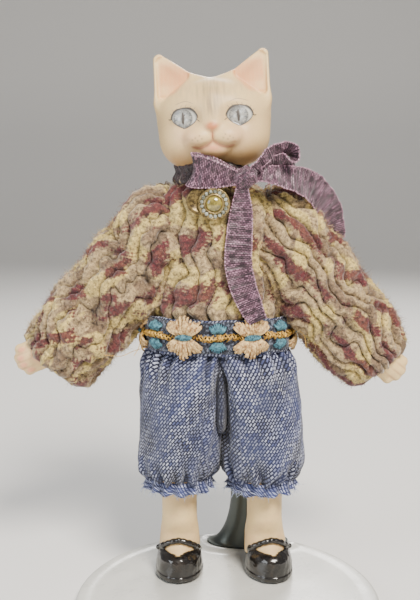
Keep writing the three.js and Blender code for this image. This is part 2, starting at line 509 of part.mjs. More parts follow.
// ---------------------------------------------------------------- ribbon bow
function buildRibbon() {
  const band = (grow, a, b) => upright([
    [a, RIBBON.neckRadius + 0.5 + grow, RIBBON.neckRadius + grow, NECK.x, NECK.y],
    [b, RIBBON.neckRadius + grow, RIBBON.neckRadius - 0.4 + grow, NECK.x, NECK.y],
  ], 40);
  part("ribbon_neck_band", cut(band(RIBBON.thickness, 84.9, 87), band(0, 84, 88)), MATERIAL.ribbon);
  const [kx, ky, kz] = KNOT;
  part("ribbon_knot", ball(1, KNOT, KNOT_SIZE), MATERIAL.ribbon);
  const strip = (path, width) => ribbonStrip(path, width, RIBBON.stripThickness).rotateX(rad(90));

  // Each loop is drawn in its own plane, with the knot at the plane's origin.
  const rightPath = [[2.6, 0.3], [6, 1.5], [9.6, 1.3], [10.6, 0.1], [9.4, -1], [6, -1], [2.6, -0.4]];
  const loopRight = strip(rightPath, RIBBON.loopWidth).rotateY(rad(180 + 6)).translate(kx, ky - 0.6, kz + 1.9);
  part("ribbon_right_loop", loopRight, MATERIAL.ribbon);
  const leftPath = [[2.6, 0.7], [6, 2.2], [9.6, 2.6], [11.2, 0.9], [9.6, -0.8], [6, -0.9], [2.6, -0.3]];
  const loopLeft = strip(leftPath, RIBBON.loopWidth).rotateY(rad(-34)).translate(kx, ky - 0.6, kz + 1);
  part("ribbon_left_loop", loopLeft, MATERIAL.ribbon);

  // The tail down the front, lying on the sweater, and the tail over the left shoulder.
  const frontPath = [[0, 0], [-7, 0.6], [-14, 1.2], [-21, 0.2], [-25.6, -0.6]];
  const front = ribbonStrip(frontPath, RIBBON.frontWidth, RIBBON.stripThickness).rotateY(rad(90))
    .rotateX(rad(180)).rotateZ(rad(180)).rotateY(rad(-5)).translate(kx - 0.4, ky - 1.4, kz - 2.4);
  part("ribbon_front_tail", front, MATERIAL.ribbon);
  const backPath = [[3, 0.4], [8, 1.6], [13, 0.8], [16.4, -3.6], [18.4, -10]];
  const back = strip(backPath, RIBBON.backWidth).rotateZ(rad(24)).translate(kx, ky + 0.8, kz + 0.4);
  part("ribbon_shoulder_tail", back, MATERIAL.ribbon);
}

// ---------------------------------------------------------------- brooch
function buildBrooch() {
  const [x, y, z] = BROOCH.at;
  const disc = (radius, depth, back) =>
    new THREE.CylinderGeometry(radius, radius, depth, 32).translate(x, y + back, z);
  const setting = cut(disc(BROOCH.radius, BROOCH.depth, 0), disc(BROOCH.seatRadius, 1, -0.5));
  part("brooch_setting", setting, MATERIAL.brass);
  part("brooch_stone", ball(1, [x, y - 0.45, z], BROOCH.stone), MATERIAL.stone);
  const pin = new THREE.CylinderGeometry(0.3, 0.3, 1.4, 12).translate(x, y + 1.6, z + 0.5);
  part("brooch_pin", pin, MATERIAL.brass);
}

buildStand();
buildClip();
buildTorso();
buildHead();
buildSweater();
buildArms();
buildLegs();
buildBloomers();
buildRibbon();
buildBrooch();

export default root;
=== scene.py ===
import json
import math
import bpy
import numpy as np
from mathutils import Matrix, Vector


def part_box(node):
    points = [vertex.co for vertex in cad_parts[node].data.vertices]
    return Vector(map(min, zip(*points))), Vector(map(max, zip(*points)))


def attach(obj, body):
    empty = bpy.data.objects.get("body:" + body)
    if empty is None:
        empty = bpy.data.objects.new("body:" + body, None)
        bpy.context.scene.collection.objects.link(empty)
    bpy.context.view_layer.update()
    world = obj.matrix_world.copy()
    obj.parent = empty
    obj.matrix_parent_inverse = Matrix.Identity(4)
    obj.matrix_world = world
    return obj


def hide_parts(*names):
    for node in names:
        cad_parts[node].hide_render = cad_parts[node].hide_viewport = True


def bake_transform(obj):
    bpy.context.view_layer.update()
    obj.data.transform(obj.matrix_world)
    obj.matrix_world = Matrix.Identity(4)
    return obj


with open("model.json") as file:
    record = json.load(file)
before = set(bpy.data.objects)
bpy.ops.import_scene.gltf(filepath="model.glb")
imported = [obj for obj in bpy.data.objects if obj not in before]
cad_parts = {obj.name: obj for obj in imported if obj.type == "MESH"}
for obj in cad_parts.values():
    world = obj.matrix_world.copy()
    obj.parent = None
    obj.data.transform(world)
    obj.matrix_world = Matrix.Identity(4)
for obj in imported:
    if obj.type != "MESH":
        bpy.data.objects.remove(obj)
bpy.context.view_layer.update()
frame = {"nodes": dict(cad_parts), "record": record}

# The row frame is in metres. Shapes are worked out in millimetres and scaled by MM on the way in.
# The doll faces -Y, and its own left is +X.
MM = 0.001
TAU = 2 * math.pi
FINE = 1.0  # share of the full grid density


def centre(node):
    """Middle of a CAD node's box, in millimetres."""
    return (low(node) + high(node)) / 2


def low(node):
    """Lowest corner of a CAD node's box, in millimetres."""
    return np.array(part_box(node)[0]) / MM


def high(node):
    """Highest corner of a CAD node's box, in millimetres."""
    return np.array(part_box(node)[1]) / MM


# ------------------------------------------------------------------ arrays
TINY = 1e-9


def unit(vectors):
    """The same vectors at length 1."""
    return vectors / np.maximum(np.linalg.norm(vectors, axis=-1, keepdims=True), TINY)


def turns(count):
    """Evenly spaced angles around a ring."""
    return np.arange(count) * TAU / count


def distance_along(path):
    """Millimetres from a polyline's start to each of its points."""
    return np.concatenate([[0], np.cumsum(np.linalg.norm(np.diff(path, axis=0), axis=1))])


def opaque(colour):
    """Rows of red, green and blue with an alpha of 1."""
    return np.concatenate([colour, np.ones((len(colour), 1))], 1)


# ------------------------------------------------------------------ colours and node materials
def linear(red, green, blue):
    """An 8-bit display colour as a linear one."""
    c = np.array([red, green, blue]) / 255
    return tuple(np.where(c <= 0.04045, c / 12.92, ((c + 0.055) / 1.055) ** 2.4))


class Shader:
    """A node material with short calls for the nodes that the looks below are made of."""

    def __init__(self, name):
        self.material = bpy.data.materials.new(name)
        self.material.use_nodes = True
        self.tree = self.material.node_tree
        self.surface = self.tree.nodes["Principled BSDF"]

    def node(self, kind, **settings):
        made = self.tree.nodes.new(kind)
        for key, value in settings.items():
            setattr(made, key, value)
        return made

    def put(self, value, socket):
        if isinstance(value, bpy.types.NodeSocket):
            self.tree.links.new(value, socket)
        elif isinstance(value, tuple) and len(value) == 3 and socket.type == "RGBA":
            socket.default_value = (*value, 1)
        else:
            socket.default_value = value

    def set(self, **sockets):
        for name, value in sockets.items():
            self.put(value, self.surface.inputs[name.replace("_", " ")])
        return self

    def attribute(self, name):
        return self.node("ShaderNodeAttribute", attribute_name=name)

    def place(self, scale=(1, 1, 1)):
        """Object coordinates, stretched by scale."""
        source = self.node("ShaderNodeTexCoord").outputs["Object"]
        mapping = self.node("ShaderNodeMapping")
        self.put(source, mapping.inputs["Vector"])
        mapping.inputs["Scale"].default_value = scale
        return mapping.outputs["Vector"]

    def noise(self, scale, detail=4.0, rough=0.55, vector=None):
        n = self.node("ShaderNodeTexNoise")
        self.put(vector if vector is not None else self.place(), n.inputs["Vector"])
        n.inputs["Scale"].default_value = scale
        n.inputs["Detail"].default_value = detail
        n.inputs["Roughness"].default_value = rough
        return n.outputs["Fac"]

    def cells(self, scale):
        n = self.node("ShaderNodeTexVoronoi")
        self.put(self.place(), n.inputs["Vector"])
        n.inputs["Scale"].default_value = scale
        return n.outputs["Distance"]

    def ramp(self, value, *stops):
        n = self.node("ShaderNodeValToRGB")
        self.put(value, n.inputs["Fac"])
        elements = n.color_ramp.elements
        while len(elements) < len(stops):
            elements.new(1.0)
        for element, (position, colour) in zip(elements, stops):
            element.position = position
            element.color = (*colour, 1) if isinstance(colour, tuple) else (colour,) * 3 + (1,)
        return n.outputs["Color"]

    def mix(self, share, a, b, mode="MIX"):
        n = self.node("ShaderNodeMix", data_type="RGBA", blend_type=mode)
        self.put(share, n.inputs[0])
        self.put(a, n.inputs[6])
        self.put(b, n.inputs[7])
        return n.outputs[2]

    def math(self, operation, a, b):
        n = self.node("ShaderNodeMath", operation=operation)
        self.put(a, n.inputs[0])
        self.put(b, n.inputs[1])
        return n.outputs[0]

    def bricks(self, vector, sizes, colours):
        """Rows of dashes, as a weave shows. sizes are the dash, its row, the gap and the gap's softness."""
        n = self.node("ShaderNodeTexBrick", offset=0.5)
        self.put(vector, n.inputs["Vector"])
        n.inputs["Scale"].default_value = 1.0
        for key, size in zip(("Brick Width", "Row Height", "Mortar Size", "Mortar Smooth"), sizes):
            n.inputs[key].default_value = size
        for key, colour in zip(("Color1", "Color2", "Mortar"), colours):
            n.inputs[key].default_value = (*colour, 1)
        return n

    def bump(self, height, distance, strength):
        n = self.node("ShaderNodeBump")
        self.put(height, n.inputs["Height"])
        n.inputs["Distance"].default_value = distance * MM
        n.inputs["Strength"].default_value = strength
        self.tree.links.new(n.outputs["Normal"], self.surface.inputs["Normal"])
        return self


# ------------------------------------------------------------------ mesh making
def mesh_piece(name, points, faces, material, body, smooth=True, **layers):
    """A mesh piece from points in millimetres and one array, or a list of arrays, of faces."""
    groups = faces if isinstance(faces, list) else [faces]
    groups = [np.asarray(g, np.int64) for g in groups if len(g)]
    sizes = np.concatenate([np.full(len(g), g.shape[1]) for g in groups])
    corners = np.concatenate([g.ravel() for g in groups])
    starts = np.concatenate([[0], np.cumsum(sizes)[:-1]])
    data = bpy.data.meshes.new(name)
    data.vertices.add(len(points))
    data.vertices.foreach_set("co", (np.asarray(points, float) * MM).ravel())
    data.loops.add(len(corners))
    data.loops.foreach_set("vertex_index", corners.astype(np.int32))
    data.polygons.add(len(sizes))
    data.polygons.foreach_set("loop_start", starts.astype(np.int32))
    data.update(calc_edges=True)
    data.validate()
    data.polygons.foreach_set("use_smooth", np.full(len(data.polygons), smooth))
    for layer, values in layers.items():
        values = np.asarray(values, float)
        kind = "FLOAT_COLOR" if values.ndim > 1 and values.shape[1] == 4 else "FLOAT_VECTOR"
        if values.ndim == 1:
            kind = "FLOAT"
        made = data.attributes.new(layer, kind, "POINT")
        key = {"FLOAT_COLOR": "color", "FLOAT_VECTOR": "vector", "FLOAT": "value"}[kind]
        made.data.foreach_set(key, values.ravel())
    data.materials.append(material)
    piece = bpy.data.objects.new(name, data)
    bpy.context.scene.collection.objects.link(piece)
    if body:
        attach(piece, body)
    return piece


def grid_faces(rows, columns, wrap_columns=False, flip=False):
    """Quads over a grid of points that is stored row by row."""
    r = np.arange(rows - 1)
    c = np.arange(columns if wrap_columns else columns - 1)
    r, c = (a.ravel() for a in np.meshgrid(r, c, indexing="ij"))
    r2, c2 = r + 1, (c + 1) % columns
    quads = np.stack([r * columns + c, r * columns + c2, r2 * columns + c2, r2 * columns + c], 1)
    return quads[:, ::-1] if flip else quads


def grid_normals(points, wrap_columns=False):
    """Unit normals of a (rows, columns, 3) grid, from its neighbours."""
    around = np.roll(points, -1, 1) - np.roll(points, 1, 1) if wrap_columns else np.gradient(points, axis=1)
    return unit(np.cross(around, np.gradient(points, axis=0)))


def merged(parts):
    """Several (points, faces) pairs as one. Faces all have the same number of corners."""
    points, faces, count = [], [], 0
    for p, f in parts:
        points.append(p)
        faces.append(np.asarray(f) + count)
        count += len(p)
    return np.concatenate(points), np.concatenate(faces)


def shell(outer, thickness, wrap_columns=True, normals=None):
    """A closed skin around a grid of points: the grid, its copy moved inwards, and the two rims."""
    rows, columns = outer.shape[:2]
    if normals is None:
        normals = grid_normals(outer, wrap_columns=wrap_columns)
    inner = outer - normals * thickness
    n = rows * columns
    points = np.concatenate([outer.reshape(-1, 3), inner.reshape(-1, 3)])
    faces = [grid_faces(rows, columns, wrap_columns=wrap_columns)]
    faces.append(grid_faces(rows, columns, wrap_columns=wrap_columns, flip=True) + n)
    c = np.arange(columns if wrap_columns else columns - 1)
    c2 = (c + 1) % columns
    last = (rows - 1) * columns
    faces.append(np.stack([c2, c, c + n, c2 + n], 1))
    faces.append(np.stack([c + last, c2 + last, c2 + last + n, c + last + n], 1))
    if not wrap_columns:
        r = np.arange(rows - 1) * columns
        faces.append(np.stack([r, r + columns, r + columns + n, r + n], 1))
        e = r + columns - 1
        faces.append(np.stack([e + columns, e, e + n, e + columns + n], 1))
    return points, np.concatenate(faces)


def frames_along(path, up=(0, 0, 1)):
    """Unit tangents, sides and ups along a polyline, turned as little as possible."""
    path = np.asarray(path, float)
    tangent = unit(np.gradient(path, axis=0))
    side = np.zeros_like(path)
    first = np.cross(tangent[0], up)
    if np.linalg.norm(first) < 1e-3:
        first = np.cross(tangent[0], (1, 0, 0))
    side[0] = first / np.linalg.norm(first)
    for i in range(1, len(path)):
        s = side[i - 1] - tangent[i] * np.dot(side[i - 1], tangent[i])
        side[i] = s / max(np.linalg.norm(s), TINY)
    return tangent, side, np.cross(side, tangent)


def tube(path, radius, sides=8, up=(0, 0, 1), flatten=1.0):
    """A closed round bar along a polyline: (points, quads). radius may vary along it."""
    path = np.asarray(path, float)
    radius = np.broadcast_to(radius, len(path))
    _, side, lift = frames_along(path, up)
    a = turns(sides)
    ring = side[:, None] * np.cos(a)[None, :, None] + lift[:, None] * (flatten * np.sin(a))[None, :, None]
    points = path[:, None] + ring * radius[:, None, None]
    points = np.concatenate([path[None, :1].repeat(sides, 1), points, path[None, -1:].repeat(sides, 1)])
    return points.reshape(-1, 3), grid_faces(len(path) + 2, sides, wrap_columns=True, flip=True)


def smooth_line(path, count):
    """A smooth, evenly spaced polyline through a few points. Numbers after the third go along with them."""
    path = np.asarray(path, float)
    padded = np.concatenate([2 * path[:1] - path[1:2], path, 2 * path[-1:] - path[-2:-1]])
    out = []
    for i in range(len(path) - 1):
        a, b, c, d = padded[i:i + 4]
        t = np.linspace(0, 1, 24, endpoint=False)[:, None]
        out.append(0.5 * (2 * b + (c - a) * t + (2 * a - 5 * b + 4 * c - d) * t**2
                          + (3 * b - a - 3 * c + d) * t**3))
    out.append(path[-1:])
    fine = np.concatenate(out)
    length = distance_along(fine[:, :3])
    at = np.linspace(0, length[-1], count)
    return np.stack([np.interp(at, length, fine[:, k]) for k in range(fine.shape[1])], 1)


def beads(places, radii, rings=5, sides=7):
    """Small balls, as one (points, quads) pair. radii is one number or one for each place."""
    places = np.asarray(places, float)
    radii = np.broadcast_to(radii, len(places))
    v = np.linspace(0, math.pi, rings + 1)
    u = turns(sides)
    unit = np.stack([np.sin(v)[:, None] * np.cos(u), np.sin(v)[:, None] * np.sin(u),
                     np.cos(v)[:, None] * np.ones(sides)], -1).reshape(-1, 3)
    quads = grid_faces(rings + 1, sides, wrap_columns=True, flip=True)
    points = places[:, None] + unit[None] * radii[:, None, None]
    faces = quads[None] + (np.arange(len(places)) * len(unit))[:, None, None]
    return points.reshape(-1, 3), faces.reshape(-1, 4)


def fibres(roots, directions, lengths, radius, rng, curl=0.6, joints=4):
    """Loose fibres as thin three-sided bars that bend and taper: (points, quads)."""
    n = len(roots)
    t = np.linspace(0, 1, joints)[None, :, None]
    bend = rng.normal(size=(n, 3)) * curl
    bend2 = rng.normal(size=(n, 3)) * curl
    way = directions[:, None] * t + bend[:, None] * t**2 * 0.5 + bend2[:, None] * t**3 * 0.35
    path = roots[:, None] + way * lengths[:, None, None]
    side = unit(np.cross(directions, rng.normal(size=(n, 3))))
    lift = np.cross(side, directions)
    a = turns(3)
    cos, sin = (wave(a)[None, None, :, None] for wave in (np.cos, np.sin))
    ring = side[:, None, None] * cos + lift[:, None, None] * sin
    size = radius * (1 - 0.75 * t[..., None])
    points = (path[:, :, None] + ring * size).reshape(-1, 3)
    quads = grid_faces(joints, 3, wrap_columns=True, flip=True)
    faces = quads[None] + (np.arange(n) * joints * 3)[:, None, None]
    return points, faces.reshape(-1, 4)


# ------------------------------------------------------------------ modelling by distance fields
def smooth_union(a, b, k):
    h = np.clip(0.5 + 0.5 * (b - a) / k, 0, 1)
    return b * (1 - h) + a * h - k * h * (1 - h)


def smooth_cut(a, tool, k):
    return -smooth_union(-a, tool, k)


def ellipsoid(p, at, radii):
    q = (p - np.asarray(at)) / np.asarray(radii)
    k0 = np.linalg.norm(q, axis=1)
    k1 = np.linalg.norm(q / np.asarray(radii), axis=1)
    return k0 * (k0 - 1) / np.maximum(k1, 1e-9)


def capsule(p, a, b, ra, rb):
    """A bar with round ends whose radius goes from ra to rb."""
    a, b = np.asarray(a, float), np.asarray(b, float)
    t = np.clip((p - a) @ (b - a) / np.dot(b - a, b - a), 0, 1)
    return np.linalg.norm(p - a - t[:, None] * (b - a), axis=1) - (ra + (rb - ra) * t)


def triangle_slab(p, corners, half, corner_radius, edge):
    """A flat triangle with round corners in the XZ plane. half is half its thickness, point by point."""
    xz = p[:, [0, 2]]
    sides = np.linalg.norm(np.roll(corners, 1, axis=0) - np.roll(corners, -1, axis=0), axis=1)
    middle = (corners * sides[:, None]).sum(0) / sides.sum()
    inside = np.full(len(p), -np.inf)
    for a, b in zip(corners, np.roll(corners, -1, axis=0)):
        along = (b - a) / np.linalg.norm(b - a)
        inside = np.maximum(inside, (xz - a) @ np.array([along[1], -along[0]]))
    (ax, az), (bx, bz) = corners[:2] - middle
    in_radius = abs(ax * bz - az * bx) / math.hypot(bx - ax, bz - az)
    small = middle + (corners - middle) * (1 - corner_radius / in_radius)
    near = np.full(len(p), np.inf)
    for a, b in zip(small, np.roll(small, -1, axis=0)):
        share = np.clip((xz - a) @ (b - a) / ((b - a) @ (b - a)), 0, 1)
        near = np.minimum(near, np.linalg.norm(xz - a - share[:, None] * (b - a), axis=1))
    far = np.where(inside < -corner_radius, -near, near) - corner_radius
    return smooth_cut(far, -(np.abs(p[:, 1]) - half), edge)


def skin(field, lowest, highest, step):
    """The zero surface of a distance field, as points and quads (surface nets, then pulled onto it)."""
    block = 8
    counts = [int(math.ceil((h - l) / step / block)) * block + 1 for l, h in zip(lowest, highest)]
    axes = [l + step * np.arange(n) for l, n in zip(lowest, counts)]
    mids = [a[:-1].reshape(-1, block).mean(1) for a in axes]
    coarse = np.stack(np.meshgrid(*mids, indexing="ij"), -1)
    rough = field(coarse.reshape(-1, 3)).reshape(coarse.shape[:3])
    near = np.abs(rough) < step * block * 1.6
    value = np.where(rough < 0, -1.0, 1.0)
    for axis in range(3):
        near = np.repeat(near, block, axis)
        value = np.repeat(value, block, axis)
        edge = [slice(None)] * 3
        edge[axis] = slice(-1, None)
        near = np.concatenate([near, near[tuple(edge)]], axis)
        value = np.concatenate([value, value[tuple(edge)]], axis)
    for axis in range(3):
        near = near | np.roll(near, 1, axis)
    i, j, k = np.nonzero(near)
    value[i, j, k] = field(np.stack([axes[0][i], axes[1][j], axes[2][k]], 1))
    inside = value < 0
    cells = tuple(n - 1 for n in counts)

    def corner(array, a, b, c):
        return array[a:cells[0] + a, b:cells[1] + b, c:cells[2] + c]
    total = sum(corner(inside, a, b, c).astype(np.int8) for a in (0, 1) for b in (0, 1) for c in (0, 1))
    active = (total > 0) & (total < 8)
    number = np.full(cells, -1, np.int64)
    number[active] = np.arange(active.sum())
    cell = np.stack(np.nonzero(active), 1)
    sums, hits = np.zeros((len(cell), 3)), np.zeros(len(cell))
    for axis in range(3):
        others = [d for d in range(3) if d != axis]
        for da in (0, 1):
            for db in (0, 1):
                start = cell.copy()
                start[:, others[0]] += da
                start[:, others[1]] += db
                end = start.copy()
                end[:, axis] += 1
                v0, v1 = value[tuple(start.T)], value[tuple(end.T)]
                cross = (v0 < 0) != (v1 < 0)
                t = np.where(cross, v0 / np.where(cross, v0 - v1, 1), 0)
                at = start.astype(float)
                at[:, axis] += t
                sums += at * cross[:, None]
                hits += cross
    points = np.asarray(lowest) + step * sums / hits[:, None]
    quads = []
    for axis in range(3):
        o1, o2 = (axis + 1) % 3, (axis + 2) % 3
        first = [slice(1, -1)] * 3
        first[axis] = slice(0, -1)
        second = list(first)
        second[axis] = slice(1, None)
        a, b = inside[tuple(first)], inside[tuple(second)]
        place = np.stack(np.nonzero(a != b), 1)
        sign = a[tuple(place.T)]
        place[:, o1] += 1
        place[:, o2] += 1
        ring = []
        for d1, d2 in ((-1, -1), (0, -1), (0, 0), (-1, 0)):
            c = place.copy()
            c[:, o1] += d1
            c[:, o2] += d2
            ring.append(number[tuple(c.T)])
        ring = np.stack(ring, 1)
        ring[~sign] = ring[~sign][:, ::-1]
        quads.append(ring)
    for _ in range(3):
        slope = gradient(field, points)
        size = np.maximum((slope**2).sum(1), 0.2)
        points = points - slope * np.clip(field(points), -step, step)[:, None] / size[:, None]
    return points, np.concatenate(quads)


def gradient(field, points, e=0.01):
    steps = np.eye(3) * e
    return np.stack([(field(points + s) - field(points - s)) / (2 * e) for s in steps], 1)


def wobble(p, scale, seed=0):
    """Smooth repeatable noise between about -1 and 1, as a sum of waves."""
    rng = np.random.default_rng(seed)
    total = np.zeros(len(p))
    for octave in range(3):
        for _ in range(5):
            way = rng.normal(size=p.shape[1])
            way *= 2.0**octave / (np.linalg.norm(way) * scale)
            total += np.sin(p @ way * TAU + rng.uniform(0, TAU)) / 2.0**octave
    return total / 4


def fade(value, start, end):
    """0 before start, 1 after end, smooth between."""
    t = np.clip((value - start) / (end - start), 0, 1)
    return t * t * (3 - 2 * t)


# ------------------------------------------------------------------ materials
def enamel():
    s = Shader("white_enamel")
    cloud = s.noise(60, 3)
    colour = s.mix(s.ramp(cloud, (0.4, 0.0), (0.65, 1.0)), linear(206, 206, 200), linear(190, 190, 184))
    specks = s.ramp(s.cells(900), (0.0, 1.0), (0.05, 0.0))
    colour = s.mix(s.math("MULTIPLY", specks, 0.5), colour, linear(150, 146, 136))
    s.set(Base_Color=colour, Roughness=s.ramp(s.noise(300, 3), (0.3, 0.24), (0.7, 0.38)), Coat_Weight=0.25)
    s.surface.inputs["Coat Roughness"].default_value = 0.12
    return s.bump(s.noise(420, 3), 0.02, 0.25).material


def dark_metal():
    # Dark grey-green: partly the steel's own colour and partly painted shade, as the column stands in the
    # doll's shadow.
    s = Shader("dark_plated_steel")
    streak = s.noise(260, 5, vector=s.place((1, 1, 0.12)))
    colour = s.mix(streak, linear(66, 72, 68), linear(104, 108, 104))
    worn = s.ramp(s.noise(90, 5), (0.55, 0.0), (0.75, 1.0))
    colour = s.mix(s.math("MULTIPLY", worn, 0.5), colour, linear(140, 142, 138))
    s.set(Base_Color=colour, Metallic=0.85, Roughness=s.ramp(streak, (0.3, 0.3), (0.7, 0.46)))
    return s.bump(streak, 0.015, 0.3).material


def vinyl():
    s = Shader("clear_white_vinyl")
    colour = s.mix(s.noise(200, 3), linear(214, 213, 206), linear(196, 195, 188))
    s.set(Base_Color=colour, Roughness=s.ramp(s.noise(500, 2), (0.3, 0.32), (0.7, 0.45)))
    return s.bump(s.noise(700, 2), 0.02, 0.2).material


def bisque(name="bisque"):
    """Unglazed porcelain: a matte painted skin over fine grain. The paint layer holds its tints and its
    painted shade.
    """
    s = Shader(name)
    paint = s.attribute("paint").outputs["Color"]
    mottle = s.ramp(s.noise(230, 4), (0.3, 0.0), (0.75, 1.0))
    colour = s.mix(s.math("MULTIPLY", mottle, 0.22), paint, linear(205, 176, 140))
    grain = s.ramp(s.noise(2600, 2), (0.35, 0.0), (0.7, 1.0))
    colour = s.mix(s.math("MULTIPLY", grain, 0.08), colour, linear(150, 122, 92))
    s.set(Base_Color=colour, Roughness=s.ramp(s.noise(420, 3), (0.3, 0.42), (0.7, 0.56)))
    s.set(Subsurface_Weight=0.12, Subsurface_Scale=0.0012)
    s.surface.inputs["Subsurface Radius"].default_value = (1.0, 0.6, 0.4)
    s.surface.inputs["Specular IOR Level"].default_value = 0.45
    return s.bump(s.noise(1500, 3), 0.012, 0.35).material


def painted_line(name, dark, light):
    s = Shader(name)
    s.set(Base_Color=s.mix(s.noise(1800, 3), dark, light),
          Roughness=s.ramp(s.noise(900, 2), (0.3, 0.4), (0.7, 0.55)))
    return s.material


def black_glaze():
    s = Shader("black_glaze")
    thin = s.ramp(s.noise(380, 4), (0.5, 0.0), (0.8, 1.0))
    colour = s.mix(thin, linear(22, 19, 17), linear(50, 42, 34))
    dust = s.ramp(s.cells(1500), (0.0, 1.0), (0.09, 0.0))
    colour = s.mix(s.math("MULTIPLY", dust, 0.25), colour, linear(130, 116, 98))
    s.set(Base_Color=colour, Roughness=s.ramp(s.noise(600, 3), (0.3, 0.16), (0.7, 0.3)), Coat_Weight=0.6)
    s.surface.inputs["Coat Roughness"].default_value = 0.08
    return s.bump(s.noise(900, 4), 0.035, 0.35).material


BISQUE = linear(230, 199, 142)


# ------------------------------------------------------------------ camera, lights and floor
def build_stage():
    eye = np.array([-3.46, -167.8, 87.3]) * MM
    camera = bpy.data.cameras.new("camera")
    camera.lens, camera.sensor_width, camera.clip_start = 54, 36, 0.01
    holder = bpy.data.objects.new("camera", camera)
    holder.location = eye
    holder.rotation_euler = (math.radians(90 - 8.77), 0, 0)
    bpy.context.scene.collection.objects.link(holder)
    bpy.context.scene.camera = holder

    def lamp(name, place, aim, size, power, colour):
        light = bpy.data.lights.new(name, "AREA")
        light.shape, light.size, light.energy, light.color = "DISK", size, power, colour
        obj = bpy.data.objects.new(name, light)
        obj.location = place
        way = np.array(aim) - np.array(place)
        obj.rotation_euler = Vector(way).to_track_quat("-Z", "Y").to_euler()
        bpy.context.scene.collection.objects.link(obj)
    lamp("key_light", (0.14, -0.3, 0.42), (0, 0, 0.06), 0.18, 5.6, (1.0, 0.93, 0.84))
    lamp("fill_light", (-0.36, -0.22, 0.2), (0, 0, 0.05), 0.3, 1.2, (0.92, 0.96, 1.0))
    lamp("rim_light", (0.05, 0.38, 0.3), (0, 0, 0.07), 0.2, 1.6, (1.0, 0.98, 0.95))

    world = bpy.data.worlds.new("studio")
    world.use_nodes = True
    world.node_tree.nodes["Background"].inputs["Color"].default_value = (0.80, 0.82, 0.85, 1)
    world.node_tree.nodes["Background"].inputs["Strength"].default_value = 0.3
    bpy.context.scene.world = world

    # A pale sweep: flat under the object, curving up far behind it.
    run = [(-0.9, 0.0), (0.0, 0.0), (0.5, 0.0), (0.7, 0.02), (0.85, 0.1), (0.92, 0.24), (0.95, 0.9)]
    rows, columns = 60, 5
    profile = smooth_line(run, rows)
    across = np.tile(np.linspace(-1.2, 1.2, columns), (rows, 1))
    points = np.stack([across, profile[:, :1].repeat(columns, 1), profile[:, 1:].repeat(columns, 1)], -1)
    s = Shader("pale_floor")
    s.set(Base_Color=s.mix(s.noise(3, 2), (0.74, 0.73, 0.71), (0.78, 0.77, 0.75)), Roughness=0.8)
    floor = mesh_piece("floor", points.reshape(-1, 3) / MM, grid_faces(rows, columns, flip=True),
                       s.material, None)


# ------------------------------------------------------------------ stand
def build_stand():
    base_high = high("stand_base")
    radius, top = base_high[0], base_high[2]
    foot = centre("stand_column")
    foot_high, foot_low = high("stand_column"), low("stand_column")
    spread, depth = (foot_high[0] - foot_low[0]) / 2, 4.3
    # Base: rings from the middle of the top, over the rim, to the middle of the underside.
    rim = 0.7
    rings = [(r, top) for r in np.linspace(0.01, radius - rim, 60)]
    rings += [(radius - rim + rim * math.sin(a), top - rim + rim * math.cos(a))
              for a in np.linspace(0.2, 1.57, 7)]
    rings += [(radius - rim + rim * math.cos(a), rim - rim * math.sin(a))
              for a in np.linspace(0.0, 1.57, 7)]
    rings += [(r, 0.0) for r in np.linspace(radius - rim - 0.3, 0.01, 14)]
    a = turns(192)
    r, z = np.array(rings).T
    points = np.stack([r[:, None] * np.cos(a), r[:, None] * np.sin(a), z[:, None] + 0 * a], -1)
    # The pressed collar around the column's foot, and the slight dish inside the rim.
    away = np.hypot((points[..., 0] - foot[0]) / (spread + 1.3), (points[..., 1] - foot[1]) / (depth + 1.1))
    upper = (np.arange(len(rings)) < 60)[:, None]
    dish = 0.16 * (1 - fade(r, radius - 3.2, radius - 1.8))[:, None]
    lift = 0.75 * np.exp(-((away - 1.0) / 0.15) ** 2) - dish
    points[..., 2] += np.where(upper, lift * fade(radius - r, 0.6, 2.0)[:, None], 0)
    piece = mesh_piece("base_disc", points.reshape(-1, 3),
                       grid_faces(len(rings), 192, wrap_columns=True, flip=True),
                       enamel(), "stand")
    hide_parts("stand_base")

    metal = dark_metal()
    tube_radius, foot_top = 3.8, 14.0
    start, end = foot_low[2], foot_high[2]
    rows = []
    for t in np.linspace(0, math.pi / 2, 26):
        wide = 1 - math.sin(t)
        rows.append((start + 0.5 + (foot_top - start - 0.5) * (1 - math.cos(t)),
                     tube_radius + (spread - tube_radius) * wide,
                     tube_radius + (depth - tube_radius) * wide))
    rows = [(start, 0.5, 0.3), (start, spread - 0.25, depth - 0.2), (start + 0.2, spread, depth)] + rows
    rows += [(z, tube_radius, tube_radius) for z in np.linspace(foot_top + 2, end - 0.9, 8)]
    # A rolled lip at the mouth, then down the bore.
    rows += [(end - 0.9 + 0.45 * (1 - math.cos(t)), tube_radius + 0.28 * math.sin(t),
              tube_radius + 0.28 * math.sin(t))
             for t in np.linspace(0.3, math.pi, 9)]
    rows += [(end - 0.25, 3.2, 3.2), (end - 0.6, 2.55, 2.55), (end - 6, 2.5, 2.5), (end - 6, 0.05, 0.05)]
    a = turns(96)
    points = np.array([[(foot[0] + w * math.cos(t), foot[1] + d * math.sin(t), z) for t in a] for z, w,
                       d in rows])
    piece = mesh_piece("column", points.reshape(-1, 3), grid_faces(len(rows), 96, wrap_columns=True), metal,
                       "stand")
    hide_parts("stand_column")

    rod_low, rod_high, at = low("stand_rod"), high("stand_rod"), centre("stand_rod")
    size = (rod_high[0] - rod_low[0]) / 2
    heights = np.concatenate([[rod_low[2]], np.linspace(rod_low[2] + 0.2, rod_high[2] - size, 30),
                              rod_high[2] - size + size * np.sin(np.linspace(0.15, 1.5, 10))])
    widths = np.concatenate([[size - 0.2], np.full(30, size), size * np.cos(np.linspace(0.15, 1.5, 10))])
    path = np.stack([0 * heights + at[0], 0 * heights + at[1], heights], 1)
    points, faces = tube(path, widths, 48)
    piece = mesh_piece("rod", points, faces, metal, "doll")
    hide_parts("stand_rod")

    dress(["stand_rivet"], metal)


